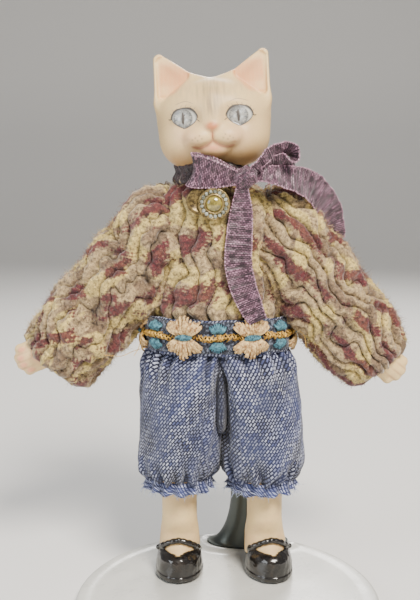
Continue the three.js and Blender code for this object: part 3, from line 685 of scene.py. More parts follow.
# ------------------------------------------------------------------ head
HEAD_TILT = math.radians(3.3)
HEAD_TURN = math.radians(-2.7)  # the face looks slightly towards the doll's right
HEAD_AT = np.array([-2.8, 11.6, 97.2])


def turned(x, y, angle):
    c, s = math.cos(angle), math.sin(angle)
    return x * c - y * s, x * s + y * c


def head_to_row(p):
    x, y = turned(p[:, 0], p[:, 1], HEAD_TURN)
    x, z = turned(x, p[:, 2], HEAD_TILT)
    return np.stack([x, y, z], 1) + HEAD_AT


def row_to_head(p):
    p = p - HEAD_AT
    x, z = turned(p[:, 0], p[:, 2], -HEAD_TILT)
    x, y = turned(x, p[:, 1], -HEAD_TURN)
    return np.stack([x, y, z], 1)


EYE = np.array([5.2, -1.75])  # middle of the doll's left eye in the head's XZ plane; the other is its mirror
EYE_SIZE = np.array([2.4, 1.85])
MOUTH = [(0.1, -6.15), (1.4, -7.1), (2.75, -7.4), (4.1, -6.95)]  # the left half of the mouth


def face_field(p):
    """The head in its own frame: the face looks along -Y."""
    m = p.copy()
    m[:, 0] = np.abs(p[:, 0])
    d = ellipsoid(p, (0, 0.3, -0.3), (11.0, 9.6, 6.5))
    d = smooth_union(d, ellipsoid(p, (0, -0.2, -4.0), (10.7, 9.3, 7.4)), 2.5)
    d = smooth_union(d, ellipsoid(m, (4.9, -2.4, -6.3), (5.3, 5.6, 4.7)), 2.0)
    # Ears, then the bowls in front of them.
    corners = np.array([[0.9, 5.0], [11.2, 0.2], [11.2, 12.3]])
    thick = 0.55 + 1.9 * np.clip((11.6 - m[:, 2]) / 7, 0, 1.2)
    d = smooth_union(d, triangle_slab(m - [0, 0.6, 0], corners, thick, 1.15, 0.9), 2.4)
    bowl = 4.6 - thick + 0.65 + 0.55 * np.clip((9 - m[:, 2]) / 4, 0, 1)
    corners = np.array([[3.9, 6.6], [10.5, 1.4], [10.55, 11.3]])
    d = smooth_cut(d, triangle_slab(m + [0, 4.0, 0], corners, bowl, 0.9, 0.5), 0.9)
    # Eye sockets with a low dome in each, the bridge and brow.
    d = smooth_cut(d, ellipsoid(m, (5.15, -10.4, -1.9), (3.1, 2.5, 2.4)), 1.6)
    d = smooth_union(d, ellipsoid(m, (5.15, -6.15, -1.75), (2.6, 2.1, 2.1)), 0.7)
    d = smooth_union(d, capsule(p, (0, -7.0, 1.2), (0, -8.6, -3.1), 1.5, 1.15), 2.2)
    # Muzzle: two puffs, a chin below them and the nose above.
    d = smooth_union(d, ellipsoid(m, (2.3, -7.7, -5.35), (3.3, 3.0, 2.25)), 0.75)
    d = smooth_union(d, ellipsoid(p, (0, -7.9, -7.6), (2.9, 2.1, 1.6)), 0.8)
    d = smooth_union(d, ellipsoid(p, (0, -9.7, -3.55), (1.3, 1.0, 0.85)), 0.6)
    # The groove under the nose, and the mouth under the puffs.
    d = smooth_cut(d, capsule(p, (0, -11.1, -4.3), (0, -10.8, -6.1), 0.36, 0.45), 0.45)
    for a, b in zip(MOUTH, MOUTH[1:]):
        y0, y1 = -10.75 + 0.25 * a[0], -10.75 + 0.25 * b[0]
        d = smooth_cut(d, capsule(m, (a[0], y0, a[1]), (b[0], y1, b[1]), 0.46, 0.38), 0.4)
    return d


def head_field(p):
    """The head with its neck ring and the hole that takes the neck plug."""
    d = face_field(row_to_head(p))
    neck = centre("neck_plug")
    around = np.hypot(p[:, 0] - neck[0], p[:, 1] - neck[1])
    d = smooth_union(d, np.maximum(around - 4.7, np.abs(p[:, 2] - 88.2) - 1.8), 1.2)
    pour = np.maximum(around - 4.85, p[:, 2] - 86.5)
    return np.maximum(d, -pour)


def on_face(xz):
    """Points on the front of the head for places in the head's own XZ plane."""
    near, far = np.full(len(xz), -13.0), np.full(len(xz), -13.0)
    found = np.zeros(len(xz), bool)
    for y in np.linspace(-13, 2, 46)[1:]:
        value = face_field(np.stack([xz[:, 0], np.full(len(xz), y), xz[:, 1]], 1))
        hit = (value < 0) & ~found
        far[hit] = y
        near[~found & ~hit] = y
        found |= hit
    for _ in range(12):
        mid = (near + far) / 2
        value = face_field(np.stack([xz[:, 0], mid, xz[:, 1]], 1))
        far = np.where(value < 0, mid, far)
        near = np.where(value < 0, near, mid)
    return np.stack([xz[:, 0], far, xz[:, 1]], 1)


def tint(colour, other, share):
    return colour * (1 - share[:, None]) + np.array(other) * share[:, None]


def blob(xz, at, size, turn=0.0):
    """A soft round patch: 1 in the middle, about 0.37 at size."""
    c, s = math.cos(turn), math.sin(turn)
    d = xz - np.array(at)
    d = np.stack([d[:, 0] * c + d[:, 1] * s, -d[:, 0] * s + d[:, 1] * c], 1) / np.array(size)
    return np.exp(-(d**2).sum(1))


def head_paint(p):
    """The painted tints of the head, by place in its own frame."""
    xz = p[:, [0, 2]]
    m = np.stack([np.abs(p[:, 0]), p[:, 2]], 1)
    front = fade(-p[:, 1], 0.0, 3.0)
    colour = np.tile(BISQUE, (len(p), 1))
    # Painted shade: the lower head turns brown towards and under the jaw.
    colour = tint(colour, linear(176, 132, 84), 0.8 * fade(-p[:, 2], 5.0, 10.5))
    # Grey tabby streaks from the brow to the crown.
    streak = 0.5 + 0.5 * wobble(np.stack([p[:, 0] * 3.0, p[:, 2] * 0.22], 1), 1.9, 5)
    band = blob(xz, (0.1, 3.0), (2.8, 3.4)) + 0.8 * blob(xz, (0, -0.2), (1.5, 1.9))
    colour = tint(colour, linear(112, 98, 82), np.clip(band * (0.2 + 0.9 * streak), 0, 1) * 0.72 * front)
    side_streak = 0.5 + 0.5 * wobble(np.stack([m[:, 0] * 2.2, m[:, 1] * 0.4], 1), 1.7, 8)
    side_band = blob(m, (4.9, 3.2), (2.6, 1.7)) * side_streak
    colour = tint(colour, linear(160, 142, 116), 0.5 * side_band * front)
    # Painted shade: the outer sides of the head below the eyes are tinted darker where they turn away.
    colour = tint(colour, linear(176, 142, 104),
                  0.35 * fade(m[:, 0], 8.0, 11.4) * fade(-m[:, 1], -2.5, 2.0))
    # Ear bowls, pink with fine streaks, a painted brown shadow along the inner top edge under the tip, and a
    # paler patch low at the outer side.
    reach = [fade(10.6 - m[:, 0], 0.0, 0.9), fade(m[:, 1] - 2.4, 0.0, 1.2),
             fade(m[:, 0] - 0.9 * (m[:, 1] - 3.2), -0.2, 1.0)]
    inner = reach[0] * reach[1] * reach[2] * fade(m[:, 0] + 0.75 * m[:, 1], 8.6, 10.0)
    inner = inner * fade(-p[:, 1], -0.5, 0.4)
    grain = 0.5 + 0.5 * wobble(np.stack([m[:, 0] * 2.6 - m[:, 1], m[:, 1] * 0.5], 1), 0.9, 3)
    colour = tint(colour, linear(226, 138, 88), inner * (0.42 + 0.4 * grain))
    colour = tint(colour, linear(186, 122, 78), 0.6 * inner * blob(m, (8.2, 8.2), (3.2, 0.9), 0.72))
    colour = tint(colour, BISQUE, 0.75 * inner * blob(m, (9.4, 4.0), (1.7, 1.7)))
    # Shadow tint around the eyes, nose, lips and chin.
    colour = tint(colour, linear(188, 154, 118), 0.5 * blob(m, EYE, (3.4, 2.8)) * front)
    colour = tint(colour, linear(198, 118, 70),
                  np.clip(1.7 * blob(xz, (0, -3.45), (1.05, 0.68)), 0, 1) * front)
    colour = tint(colour, linear(190, 116, 76), 0.8 * blob(xz, (0, -5.1), (0.36, 1.1)) * front)
    colour = tint(colour, linear(222, 138, 108), 0.75 * blob(xz, (0, -7.4), (1.7, 0.7)) * front)
    colour = tint(colour, linear(228, 176, 146), 0.4 * blob(m, (4.8, -5.2), (2.6, 1.8)) * front)
    line = sum(blob(m, (a[0] * (1 - t) + b[0] * t, a[1] * (1 - t) + b[1] * t), (0.4, 0.3))
               for a, b in zip(MOUTH, MOUTH[1:]) for t in (0.0, 0.25, 0.5, 0.75))
    colour = tint(colour, linear(150, 96, 64), np.clip(0.55 * line, 0, 0.7) * front)
    whisker_pits = ((2.4, -5.1), (3.2, -5.5), (2.8, -6.0), (3.8, -5.8), (2.0, -5.7))
    dots = sum(blob(m, at, (0.14, 0.14)) for at in whisker_pits)
    return tint(colour, linear(120, 92, 70), 0.75 * np.clip(dots, 0, 1) * front)


def stroke(path, width, lift=0.03, count=24):
    """A painted line on the face: a thin closed strip through a few XZ points that tapers at its ends."""
    line = smooth_line(path, count)
    along = unit(np.gradient(line, axis=0))
    across = np.stack([-along[:, 1], along[:, 0]], 1)
    t = np.linspace(0, 1, count)
    taper = np.clip(np.minimum(t, 1 - t) * 5 + 0.25, 0, 1)
    shape = np.array([(-1, -0.05), (-0.6, 1), (0.6, 1), (1, -0.05)])
    rows = []
    for a, b in shape:
        at = on_face(line + across * (a * width / 2 * taper)[:, None])
        n = gradient(face_field, at)
        rows.append(at + n * (b * lift))
    points = np.stack(rows, 1)
    faces = grid_faces(count, 4, wrap_columns=True)
    caps = np.array([[0, 1, 2, 3], [count * 4 - 1, count * 4 - 2, count * 4 - 3, count * 4 - 4]])
    return points.reshape(-1, 3), np.concatenate([faces, caps])


def eye_edge(t):
    """The eye's outline at an angle: a leaf, round above and cut straight by the cheek below."""
    c, s = math.cos(t), math.sin(t)
    round_part = s if s > 0 else 0.45 * s - 0.55 * (1 - abs(c)) ** 0.85
    return np.array([EYE_SIZE[0] * c, EYE_SIZE[1] * round_part])


def build_eye(side):
    """One painted eye: a domed disc of rings with white, a grey iris and a dark edge in its paint layer."""
    rings, spokes = 26, 72
    r = np.linspace(0.02, 1, rings)
    a = turns(spokes)
    edge = np.array([eye_edge(t) for t in a])
    x, z = r[:, None] * edge[:, 0], r[:, None] * edge[:, 1]
    xz = np.stack([side * (EYE[0] + x), EYE[1] + z], -1).reshape(-1, 2)
    face = on_face(xz)
    normal = gradient(face_field, face)
    reach = np.repeat(r, spokes)
    at = face + normal * (0.045 * np.sqrt(np.clip(1.02 - reach**2, 0, 1)) + 0.02)[:, None]
    # The iris is large, and both look a little towards the doll's right.
    off = np.stack([xz[:, 0] - side * EYE[0] + 0.25, xz[:, 1] - EYE[1]], 1)
    out = np.hypot(off[:, 0] / 1.75, off[:, 1] / 1.75)
    spoke = 0.5 + 0.5 * np.sin(np.arctan2(off[:, 1], off[:, 0]) * 23 + 2 * wobble(off, 1.0, 4))
    colour = np.tile(linear(200, 198, 188), (len(xz), 1))
    marble = np.clip(0.5 + 0.9 * wobble(off, 1.1, 14), 0, 1)
    colour = tint(colour, linear(72, 78, 84), fade(-out, -1.02, -0.86) * (0.3 + 0.3 * spoke + 0.4 * marble))
    colour = tint(colour, linear(222, 228, 228), np.exp(-((out - 0.4) / 0.2) ** 2) * 0.7 * marble)
    colour = tint(colour, linear(16, 15, 15),
                  0.95 * np.exp(-(off[:, 0] / 0.26) ** 2 - (off[:, 1] / 0.8) ** 2))
    colour = tint(colour, linear(48, 50, 52), np.exp(-((out - 0.97) / 0.09) ** 2) * (0.6 + 0.3 * spoke))
    colour = tint(colour, linear(70, 68, 66), 0.75 * fade(reach, 0.84, 1.0))
    # Painted shade: the top of the eye is darker, under the upper lid.
    colour = tint(colour, linear(110, 110, 108), 0.6 * fade(xz[:, 1] - EYE[1], 0.8, 1.8))
    faces = grid_faces(rings, spokes, wrap_columns=True, flip=side < 0)
    # Close the disc underneath, so that it is a thin lens.
    back = face - normal * 0.1
    n = len(at)
    under = grid_faces(rings, spokes, wrap_columns=True, flip=side > 0) + n
    s = (rings - 1) * spokes + np.arange(spokes)
    s2 = (rings - 1) * spokes + (np.arange(spokes) + 1) % spokes
    rim = np.stack([s, s2, s2 + n, s + n], 1)
    rim = rim[:, ::-1] if side < 0 else rim
    points = head_to_row(np.concatenate([at, back]))
    paint = opaque(np.tile(colour, (2, 1)))
    name = "left" if side > 0 else "right"
    return mesh_piece(f"{name}_eye", points, np.concatenate([faces, under, rim]), EYE_PAINT, "head",
                      paint=paint)


def build_head():
    step = 0.16
    points, faces = skin(head_field, (-16.5, -1.0, 85.2), (9.8, 23.0, 111.4), step)
    local = row_to_head(points)
    paint = opaque(head_paint(local))
    piece = mesh_piece("cat_head", points, faces, bisque(), "head", paint=paint)
    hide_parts("head")
    for side in (-1, 1):
        build_eye(side)

    grey = painted_line("eye_line_paint", linear(58, 54, 52), linear(92, 86, 80))
    soft = painted_line("soft_line_paint", linear(150, 128, 106), linear(176, 152, 126))
    lines, faint = [], []
    for side in (-1, 1):
        def at(*pairs):
            return [(side * (EYE[0] + x), EYE[1] + z) for x, z in pairs]
        w, h = EYE_SIZE
        for grow, thick, wave in ((1.03, 0.34, 0.0), (1.1, 0.16, 0.09), (0.96, 0.14, 0.07)):
            rim = [eye_edge(t) * grow + [0, wave * math.sin(5 * t + grow * 9)]
                   for t in np.linspace(-0.12, math.pi + 0.12, 22)]
            lines.append(stroke(at(*rim), thick, count=56))
        low_rim = [eye_edge(t) for t in np.linspace(math.pi + 0.1, TAU - 0.15, 20)]
        lines.append(stroke(at(*low_rim), 0.17, count=44))
        lines.append(stroke(at((w * 0.95, 0.1), (w * 1.16, -0.02), (w * 1.3, 0.1)), 0.17))
        lines.append(stroke(at((-w * 0.98, -0.25), (-w * 1.2, -0.7)), 0.14))
        # The slit pupil, a little towards the doll's right like the iris.
        x = -0.25 * side
        lines.append(stroke(at((x, 1.15), (x - 0.05, 0.4), (x + 0.02, -0.35), (x, -1.05)), 0.62, 0.1))
        lines.append(stroke(at((x - 0.5, 0.75), (x - 0.2, 0.55)), 0.3, 0.08))
        for k in range(7):
            t = 0.35 + 0.33 * k
            foot = (w * 1.06 * math.cos(t), h * 1.1 * math.sin(t))
            tip = (foot[0] + 0.55 * math.cos(t + 0.5), foot[1] + 0.5 + 0.12 * math.sin(k * 2.1))
            faint.append(stroke(at(foot, tip), 0.1, 0.02, 8))
        faint.append(stroke(at((-1.9, 2.6), (-0.3, 3.15), (1.7, 2.7)), 0.1, 0.02))
    for points_and_faces, name, material in ((lines, "eye_lines", grey), (faint, "brow_lines", soft)):
        points, faces = merged(points_and_faces)
        mesh_piece(name, head_to_row(points), faces, material, "head")
    mouth = [stroke([(0, -4.35), (0.02, -5.3), (0, -6.1)], 0.16, 0.02)]
    for side in (-1, 1):
        curve = [(side * x, z) for x, z in MOUTH]
        mouth.append(stroke(curve, 0.17, 0.02))
    points, faces = merged(mouth)
    lip = painted_line("lip_paint", linear(150, 98, 72), linear(184, 128, 98))
    mesh_piece("mouth_line", head_to_row(points), faces, lip, "head")

    s = Shader("turned_wood")
    s.set(Base_Color=s.mix(s.noise(900, 5, vector=s.place((0.2, 1, 1))), linear(150, 104, 60),
                           linear(196, 150, 100)),
          Roughness=0.65)
    dress(["neck_button"], s.material)


def eye_paint():
    s = Shader("eye_paint")
    paint = s.attribute("paint").outputs["Color"]
    s.set(Base_Color=s.mix(s.math("MULTIPLY", s.noise(1600, 3), 0.1), paint, linear(150, 150, 150)),
          Roughness=0.32)
    s.set(Coat_Weight=0.4)
    return s.material


# ------------------------------------------------------------------ cloth, thread and metal materials
def bisque_plain():
    """Unpainted porcelain for the hidden neck piece."""
    s = Shader("bisque_plain")
    colour = s.mix(s.noise(230, 4), linear(226, 200, 160), linear(206, 178, 140))
    s.set(Base_Color=colour, Roughness=s.ramp(s.noise(420, 3), (0.3, 0.42), (0.7, 0.56)))
    return s.bump(s.noise(1500, 3), 0.012, 0.35).material


def wool():
    """Felted yarn: the paint layer holds the dyed patches and painted shade between the ropes, with light and
    dark hairs over it.
    """
    s = Shader("wool")
    paint = s.attribute("paint").outputs["Color"]
    hair = s.noise(2300, 5, 0.7)
    bright = s.mix(1.0, paint, (2.1, 2.1, 2.1), "MULTIPLY")
    colour = s.mix(s.math("MULTIPLY", s.ramp(hair, (0.46, 0.0), (0.64, 1.0)), 0.6), paint, bright)
    colour = s.mix(s.math("MULTIPLY", s.ramp(hair, (0.55, 0.0), (0.7, 1.0)), 0.2), colour,
                   linear(214, 196, 156))
    dark = s.ramp(s.noise(1500, 4, 0.75), (0.38, 1.0), (0.52, 0.0))
    colour = s.mix(s.math("MULTIPLY", dark, 0.75), colour, linear(46, 32, 28))
    s.set(Base_Color=colour, Roughness=0.95, Sheen_Weight=0.35, Sheen_Roughness=0.5)
    return s.bump(hair, 0.12, 0.8).material


def denim():
    """Twill: rows of pale weft dashes over indigo. The cloth layer is the flat cloth, in millimetres."""
    s = Shader("denim")
    cloth = s.attribute("cloth").outputs["Vector"]
    wave = s.noise(0.35, 3, vector=cloth)
    bent = s.node("ShaderNodeVectorMath", operation="ADD")
    s.put(cloth, bent.inputs[0])
    s.put(s.mix(1.0, (0, 0, 0), wave), bent.inputs[1])
    turn = s.node("ShaderNodeMapping")
    s.put(bent.outputs[0], turn.inputs["Vector"])
    turn.inputs["Rotation"].default_value = (0, 0, math.radians(-52))
    weave = s.bricks(turn.outputs["Vector"], (0.92, 0.56, 0.17, 0.45),
                     (linear(190, 196, 216), linear(74, 82, 122), linear(16, 19, 40)))
    faded = s.ramp(s.noise(0.12, 4, vector=cloth), (0.38, 0.0), (0.66, 1.0))
    colour = s.mix(s.math("MULTIPLY", faded, 0.55), weave.outputs["Color"], linear(54, 64, 108))
    # The paint layer multiplies in the painted light and shade of the cloth pieces.
    paint = s.attribute("paint").outputs["Color"]
    colour = s.mix(1.0, colour, paint, "MULTIPLY")
    s.set(Base_Color=colour, Roughness=0.9, Sheen_Weight=0.2, Sheen_Roughness=0.5)
    height = s.math("SUBTRACT", 1.0, weave.outputs["Fac"])
    return s.bump(height, 0.12, 0.7).material


def ribbon_weave(name, dark, mid, glint):
    """Grosgrain: fine cross ribs with painted glints, under soft patches of painted shade. The cloth layer
    runs along and across the ribbon.
    """
    s = Shader(name)
    cloth = s.attribute("cloth").outputs["Vector"]
    weave = s.bricks(cloth, (0.62, 0.34, 0.09, 0.7), (glint, mid, dark))
    # Painted shade: soft dark patches darken the ribbon.
    patch = s.ramp(s.noise(0.5, 4, vector=cloth), (0.35, 0.0), (0.62, 1.0))
    colour = s.mix(s.math("MULTIPLY", patch, 0.62), weave.outputs["Color"], dark)
    s.set(Base_Color=colour, Roughness=0.42, Sheen_Weight=0.3, Sheen_Roughness=0.35)
    s.surface.inputs["Anisotropic"].default_value = 0.4
    return s.bump(s.math("SUBTRACT", 1.0, weave.outputs["Fac"]), 0.07, 0.8).material


def thread(name, dark, light, rough=0.7, metal=0.0):
    """Spun thread: colour that changes every few turns of the yarn."""
    s = Shader(name)
    colour = s.mix(s.ramp(s.noise(1700, 5, 0.7), (0.38, 0.0), (0.62, 1.0)), dark, light)
    s.set(Base_Color=colour, Roughness=s.ramp(s.noise(1200, 2), (0.3, rough - 0.08), (0.7, rough + 0.08)),
          Metallic=metal)
    return s.bump(s.noise(2600, 4), 0.05, 0.6).material


def brass():
    s = Shader("aged_brass")
    dull = s.ramp(s.noise(700, 5, 0.7), (0.35, 0.0), (0.65, 1.0))
    colour = s.mix(dull, linear(92, 76, 48), linear(190, 168, 116))
    s.set(Base_Color=colour, Metallic=0.9, Roughness=s.ramp(dull, (0.0, 0.55), (1.0, 0.3)))
    return s.bump(s.noise(1600, 4), 0.03, 0.5).material


def glass_stone(name, deep, pale, clear=0.0):
    """Cut or domed glass with cloudy depth."""
    s = Shader(name)
    cloud = s.ramp(s.noise(900, 4), (0.35, 0.0), (0.65, 1.0))
    s.set(Base_Color=s.mix(cloud, deep, pale), Roughness=s.ramp(cloud, (0.0, 0.06), (1.0, 0.14)),
          Coat_Weight=0.7)
    s.surface.inputs["Transmission Weight"].default_value = clear
    s.surface.inputs["IOR"].default_value = 1.55
    return s.bump(s.cells(1500), 0.05, 0.4).material


def muslin():
    s = Shader("muslin")
    over = s.node("ShaderNodeTexWave", wave_type="BANDS", bands_direction="Z")
    s.put(s.place(), over.inputs["Vector"])
    over.inputs["Scale"].default_value = 700
    colour = s.mix(over.outputs["Fac"], linear(204, 190, 162), linear(228, 216, 190))
    s.set(Base_Color=s.mix(s.math("MULTIPLY", s.noise(300, 4), 0.3), colour, linear(176, 160, 130)),
          Roughness=0.92)
    return s.bump(over.outputs["Fac"], 0.05, 0.4).material


def bare_wire():
    s = Shader("bare_wire")
    streak = s.noise(900, 4, vector=s.place((1, 1, 0.2)))
    s.set(Base_Color=s.mix(streak, linear(128, 128, 126), linear(176, 176, 172)), Metallic=0.95,
          Roughness=s.ramp(streak, (0.3, 0.3), (0.7, 0.48)))
    return s.bump(streak, 0.01, 0.3).material


def dress(nodes, material):
    """Give CAD nodes that keep their own shape their finished material."""
    for name in nodes:
        data = frame["nodes"][name].data
        data.materials.clear()
        data.materials.append(material)


# ------------------------------------------------------------------ more mesh making
def outward(grid):
    """The same wrapped grid with its columns in the order that makes its normals point out."""
    n = grid_normals(grid, wrap_columns=True)
    middle = grid.mean(axis=1, keepdims=True)
    return grid if (n * (grid - middle)).sum() > 0 else grid[:, ::-1]


def smooth_wrap(grid, times):
    """Average each point of a wrapped grid with its neighbours on the same ring."""
    for _ in range(times):
        around = (np.roll(grid, 1, 1) + np.roll(grid, -1, 1)) / 2
        grid = grid * 0.5 + around * 0.5
    return grid


def arc_lengths(grid):
    """Millimetres along each ring of a wrapped grid, from its first column."""
    step = np.linalg.norm(np.roll(grid, -1, 1) - grid, axis=2)
    return np.concatenate([np.zeros((len(grid), 1)), np.cumsum(step, 1)[:, :-1]], 1)


def cloth_piece(name, grid, thickness, material, body, normals=None, paint=None, cloth=None):
    """A thin closed cloth shell on a wrapped grid, with its paint and cloth layers on both faces."""
    points, faces = shell(grid, thickness, normals=normals)
    layers = {}
    if paint is not None:
        layers["paint"] = np.tile(opaque(paint.reshape(-1, 3)), (2, 1))
    if cloth is not None:
        layers["cloth"] = np.tile(cloth.reshape(-1, 3), (2, 1))
    return mesh_piece(name, points, faces, material, body, **layers)


def fuzz_on(grid, normals, count, length, radius, rng, paint):
    """Fibres standing off a grid: (points, quads, paint)."""
    rows, columns = grid.shape[:2]
    pick = rng.integers(0, rows * columns, count)
    roots = grid.reshape(-1, 3)[pick]
    spread = 0.7
    ways = unit(normals.reshape(-1, 3)[pick] + rng.normal(size=(count, 3)) * spread)
    lengths = length * rng.uniform(0.4, 1.5, count)
    points, faces = fibres(roots - ways * 0.1, ways, lengths, radius, rng)
    return points, faces, np.repeat(paint.reshape(-1, 3)[pick], len(points) // count, axis=0)


# ------------------------------------------------------------------ legs and shoes
SIDES = ((-1, "right"), (1, "left"))
TOE_TURN = {"right": math.radians(-1), "left": math.radians(8)}


def foot_place(side, p):
    """Points in a shoe's own frame: its toe points along -Y, its heel is at y 0 and its sole at z 0."""
    sole = low(f"{side}_shoe")[2]
    x, y = turned(p[:, 0] - centre(f"{side}_leg")[0], p[:, 1] - 15.9, -TOE_TURN[side])
    return np.stack([x, y, p[:, 2] - sole], 1)


def leg_field(side, p):
    leg_x = (low(f"{side}_thigh")[0] + high(f"{side}_thigh")[0]) / 2
    q = foot_place(side, p)
    away = p - [leg_x, 11.5, 0]
    ankle = fade(-p[:, 2], -14.5, -10)
    wide = 3.62 + 0.42 * ankle + 0.15 * fade(p[:, 2], 17, 23)
    deep = (away[:, 1] - 0.9 * ankle) * (0.97 + 0.2 * ankle)
    shank = np.maximum(np.hypot(away[:, 0], deep) - wide, np.maximum(p[:, 2] - 31, 6 - p[:, 2]))
    foot = capsule(q, (0, -3.9, 5.0), (0, -8.8, 2.9), 3.5, 2.4)
    return smooth_union(shank, foot, 1.8)


def shoe_field(side, p):
    """A closed-toe shoe with a high counter, an arched strap over the instep and a thin sole."""
    q = foot_place(side, p)
    x, y, z = q.T
    pull = 1 - 0.035 * np.clip(z - 2, 0, 7)
    outline = (np.hypot(x / (4.85 * pull), (y + 4.95) / 6.65) - 1) * 4.6
    rim = 5.5 + 1.5 * fade(y, -6.0, -2.0)
    d = smooth_cut(outline, rim - z, 2.2)
    half = [(0, -7.75, 7.35), (1.1, -7.65, 7.15), (2.2, -7.25, 6.6), (3.2, -6.5, 5.9), (3.85, -5.4, 5.1),
            (4.0, -4.4, 4.4)]
    strap = [(-a, b, c) for a, b, c in half[:0:-1]] + half
    for start, end in zip(strap, strap[1:]):
        d = smooth_union(d, capsule(q, start, end, 0.6, 0.6), 0.3)
    sole = np.hypot(x / 4.95, (y + 4.95) / 6.8) - 1
    d = smooth_union(d, np.maximum(sole * 4.7, np.abs(z - 0.5) - 0.4), 0.25)
    d = d + 0.05 * wobble(q, 2.4, 11)
    d = np.maximum(d, 0.02 - z)
    # A narrow slot around the instep gives the opening its edge.
    return np.maximum(d, 0.06 + 0.16 * fade(z, 3.8, 4.8) * fade(-y, 5.5, 7.5) - leg_field(side, p))


def build_legs():
    step = 0.17
    shine, skin_paint = black_glaze(), bisque("leg_bisque")
    for sign, side in SIDES:
        node_low, node_high = low(f"{side}_shoe"), high(f"{side}_shoe")
        mid = centre(f"{side}_thigh")[0]
        points, faces = skin(lambda p: leg_field(side, p), (mid - 6, 1.5, 2.6), (mid + 6, 18, 32), step)
        colour = np.tile(BISQUE, (len(points), 1))
        # Painted shadow of the bloomers darkens the top of each leg; the ankle above the shoe is also a
        # little darker.
        leg_shade = 0.5 * fade(points[:, 2], 15, 24) + 0.25 * fade(-points[:, 2], -12, -9)
        colour = tint(colour, linear(214, 172, 128), np.clip(leg_shade, 0, 1))
        mottle = np.clip(wobble(points, 5.0, 21), 0, 1)
        colour = tint(colour, linear(206, 166, 124), 0.35 * mottle)
        paint = opaque(colour)
        piece = mesh_piece(f"{side}_bisque_leg", points, faces, skin_paint, f"{side}_leg", paint=paint)
        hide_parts(f"{side}_leg")
        points, faces = skin(lambda p: shoe_field(side, p), node_low - 1.2, node_high + 1.2, step)
        piece = mesh_piece(f"{side}_strap_shoe", points, faces, shine, f"{side}_leg")
        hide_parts(f"{side}_shoe")
        # The strap's button.
        q = np.array([[sign * 4.35, -5.4, 5.0]])
        x, y = turned(q[:, 0], q[:, 1], TOE_TURN[side])
        at = np.stack([x + centre(f"{side}_leg")[0], y + 15.9, q[:, 2] + node_low[2]], 1)
        mesh_piece(f"{side}_shoe_button", *beads(at, 0.55, 14, 20), shine, f"{side}_leg")


# ------------------------------------------------------------------ arms and paws
def anchor(joint):
    """A joint's anchor in millimetres, from the record."""
    rows = [j for j in frame["record"]["behaviour"]["joints"] if j["name"] == joint]
    return np.array(rows[0]["pos_m"]) / MM


def arm_points(side):
    """Shoulder, elbow and the middle of the cuff's mouth."""
    sign = -1 if side == "right" else 1
    mouth = np.array([-34.3, 11.0, 47.9]) if sign < 0 else np.array([29.7, 10.4, 48.0])
    return anchor(f"{side}_shoulder"), anchor(f"{side}_elbow"), mouth


def paw_axes(side):
    """The paw's wrist, its direction, and the directions across it and out of its front face."""
    wrist = np.array([-34.6, 10.6, 50.4]) if side == "right" else np.array([28.6, 9.8, 50.2])
    tip = np.array([-41.6, 10.0, 47.4]) if side == "right" else np.array([34.2, 9.2, 45.4])
    along = (tip - wrist) / np.linalg.norm(tip - wrist)
    out = np.array([0, -1.0, 0]) + along * along[1]
    out /= np.linalg.norm(out)
    return wrist, along, np.cross(along, out), out


def build_paws():
    step = 0.13
    skin_paint = bisque("paw_bisque")
    for sign, side in SIDES:
        wrist, along, across, out = paw_axes(side)
        axes = np.stack([along, across, out], 1)
        elbow = anchor(f"{side}_elbow")
        palm_out = side == "right"

        def field(p):
            q = (p - wrist) @ axes
            d = capsule(p, elbow + (wrist - elbow) * 0.25, wrist, 2.6, 2.5)
            d = smooth_union(d, ellipsoid(q, (3.9, 0, 0), (4.6, 3.35, 2.45)), 1.6)
            for k in (-1.5, -0.5, 0.5, 1.5):
                toe = capsule(q, (4.2, k * 1.25, 0.15), (7.7 - 0.42 * k * k, k * 1.5, 0.1), 1.15, 1.12)
                d = smooth_union(d, toe, 0.42)
                if palm_out:
                    pad = ellipsoid(q, (7.2 - 0.42 * k * k, k * 1.5, 1.25), (0.85, 0.6, 0.42))
                    d = smooth_union(d, pad, 0.35)
            if palm_out:
                d = smooth_union(d, ellipsoid(q, (3.4, 0, 1.9), (1.6, 1.5, 0.9)), 0.6)
            return d
        points, faces = skin(field, low(f"{side}_forearm") - 2.2, high(f"{side}_forearm") + 2.2, step)
        q = (points - wrist) @ axes
        colour = np.tile(BISQUE, (len(points), 1))
        # Painted shade: darker towards the wrist, where the paw goes into the cuff.
        colour = tint(colour, linear(216, 176, 134), 0.5 * fade(-q[:, 0], -2.5, 0.5))
        flat = q[:, :2]
        if palm_out:
            pads = blob(flat, (3.4, 0), (1.35, 1.25))
            pads = pads + sum(blob(flat, (7.3 - 0.42 * k * k, k * 1.5), (0.75, 0.5))
                              for k in (-1.5, -0.5, 0.5, 1.5))
            colour = tint(colour, linear(226, 142, 116),
                          0.75 * np.clip(1.4 * pads, 0, 1) * fade(q[:, 2], 0.6, 1.5))
        # Painted shade in the grooves between the toes.
        groove = sum(blob(flat, (7.2, k * 1.5), (1.9, 0.2)) for k in (-1, 0, 1))
        colour = tint(colour, linear(170, 118, 84), 0.55 * np.clip(groove, 0, 1))
        paint = opaque(colour)
        piece = mesh_piece(f"{side}_paw", points, faces, skin_paint, f"{side}_lower_arm", paint=paint)
        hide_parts(f"{side}_forearm")


# ------------------------------------------------------------------ sweater
WOOL_CREAM, WOOL_TAUPE = linear(158, 136, 100), linear(104, 82, 62)
WOOL_YELLOW, WOOL_WINE = linear(192, 170, 102), linear(82, 12, 30)


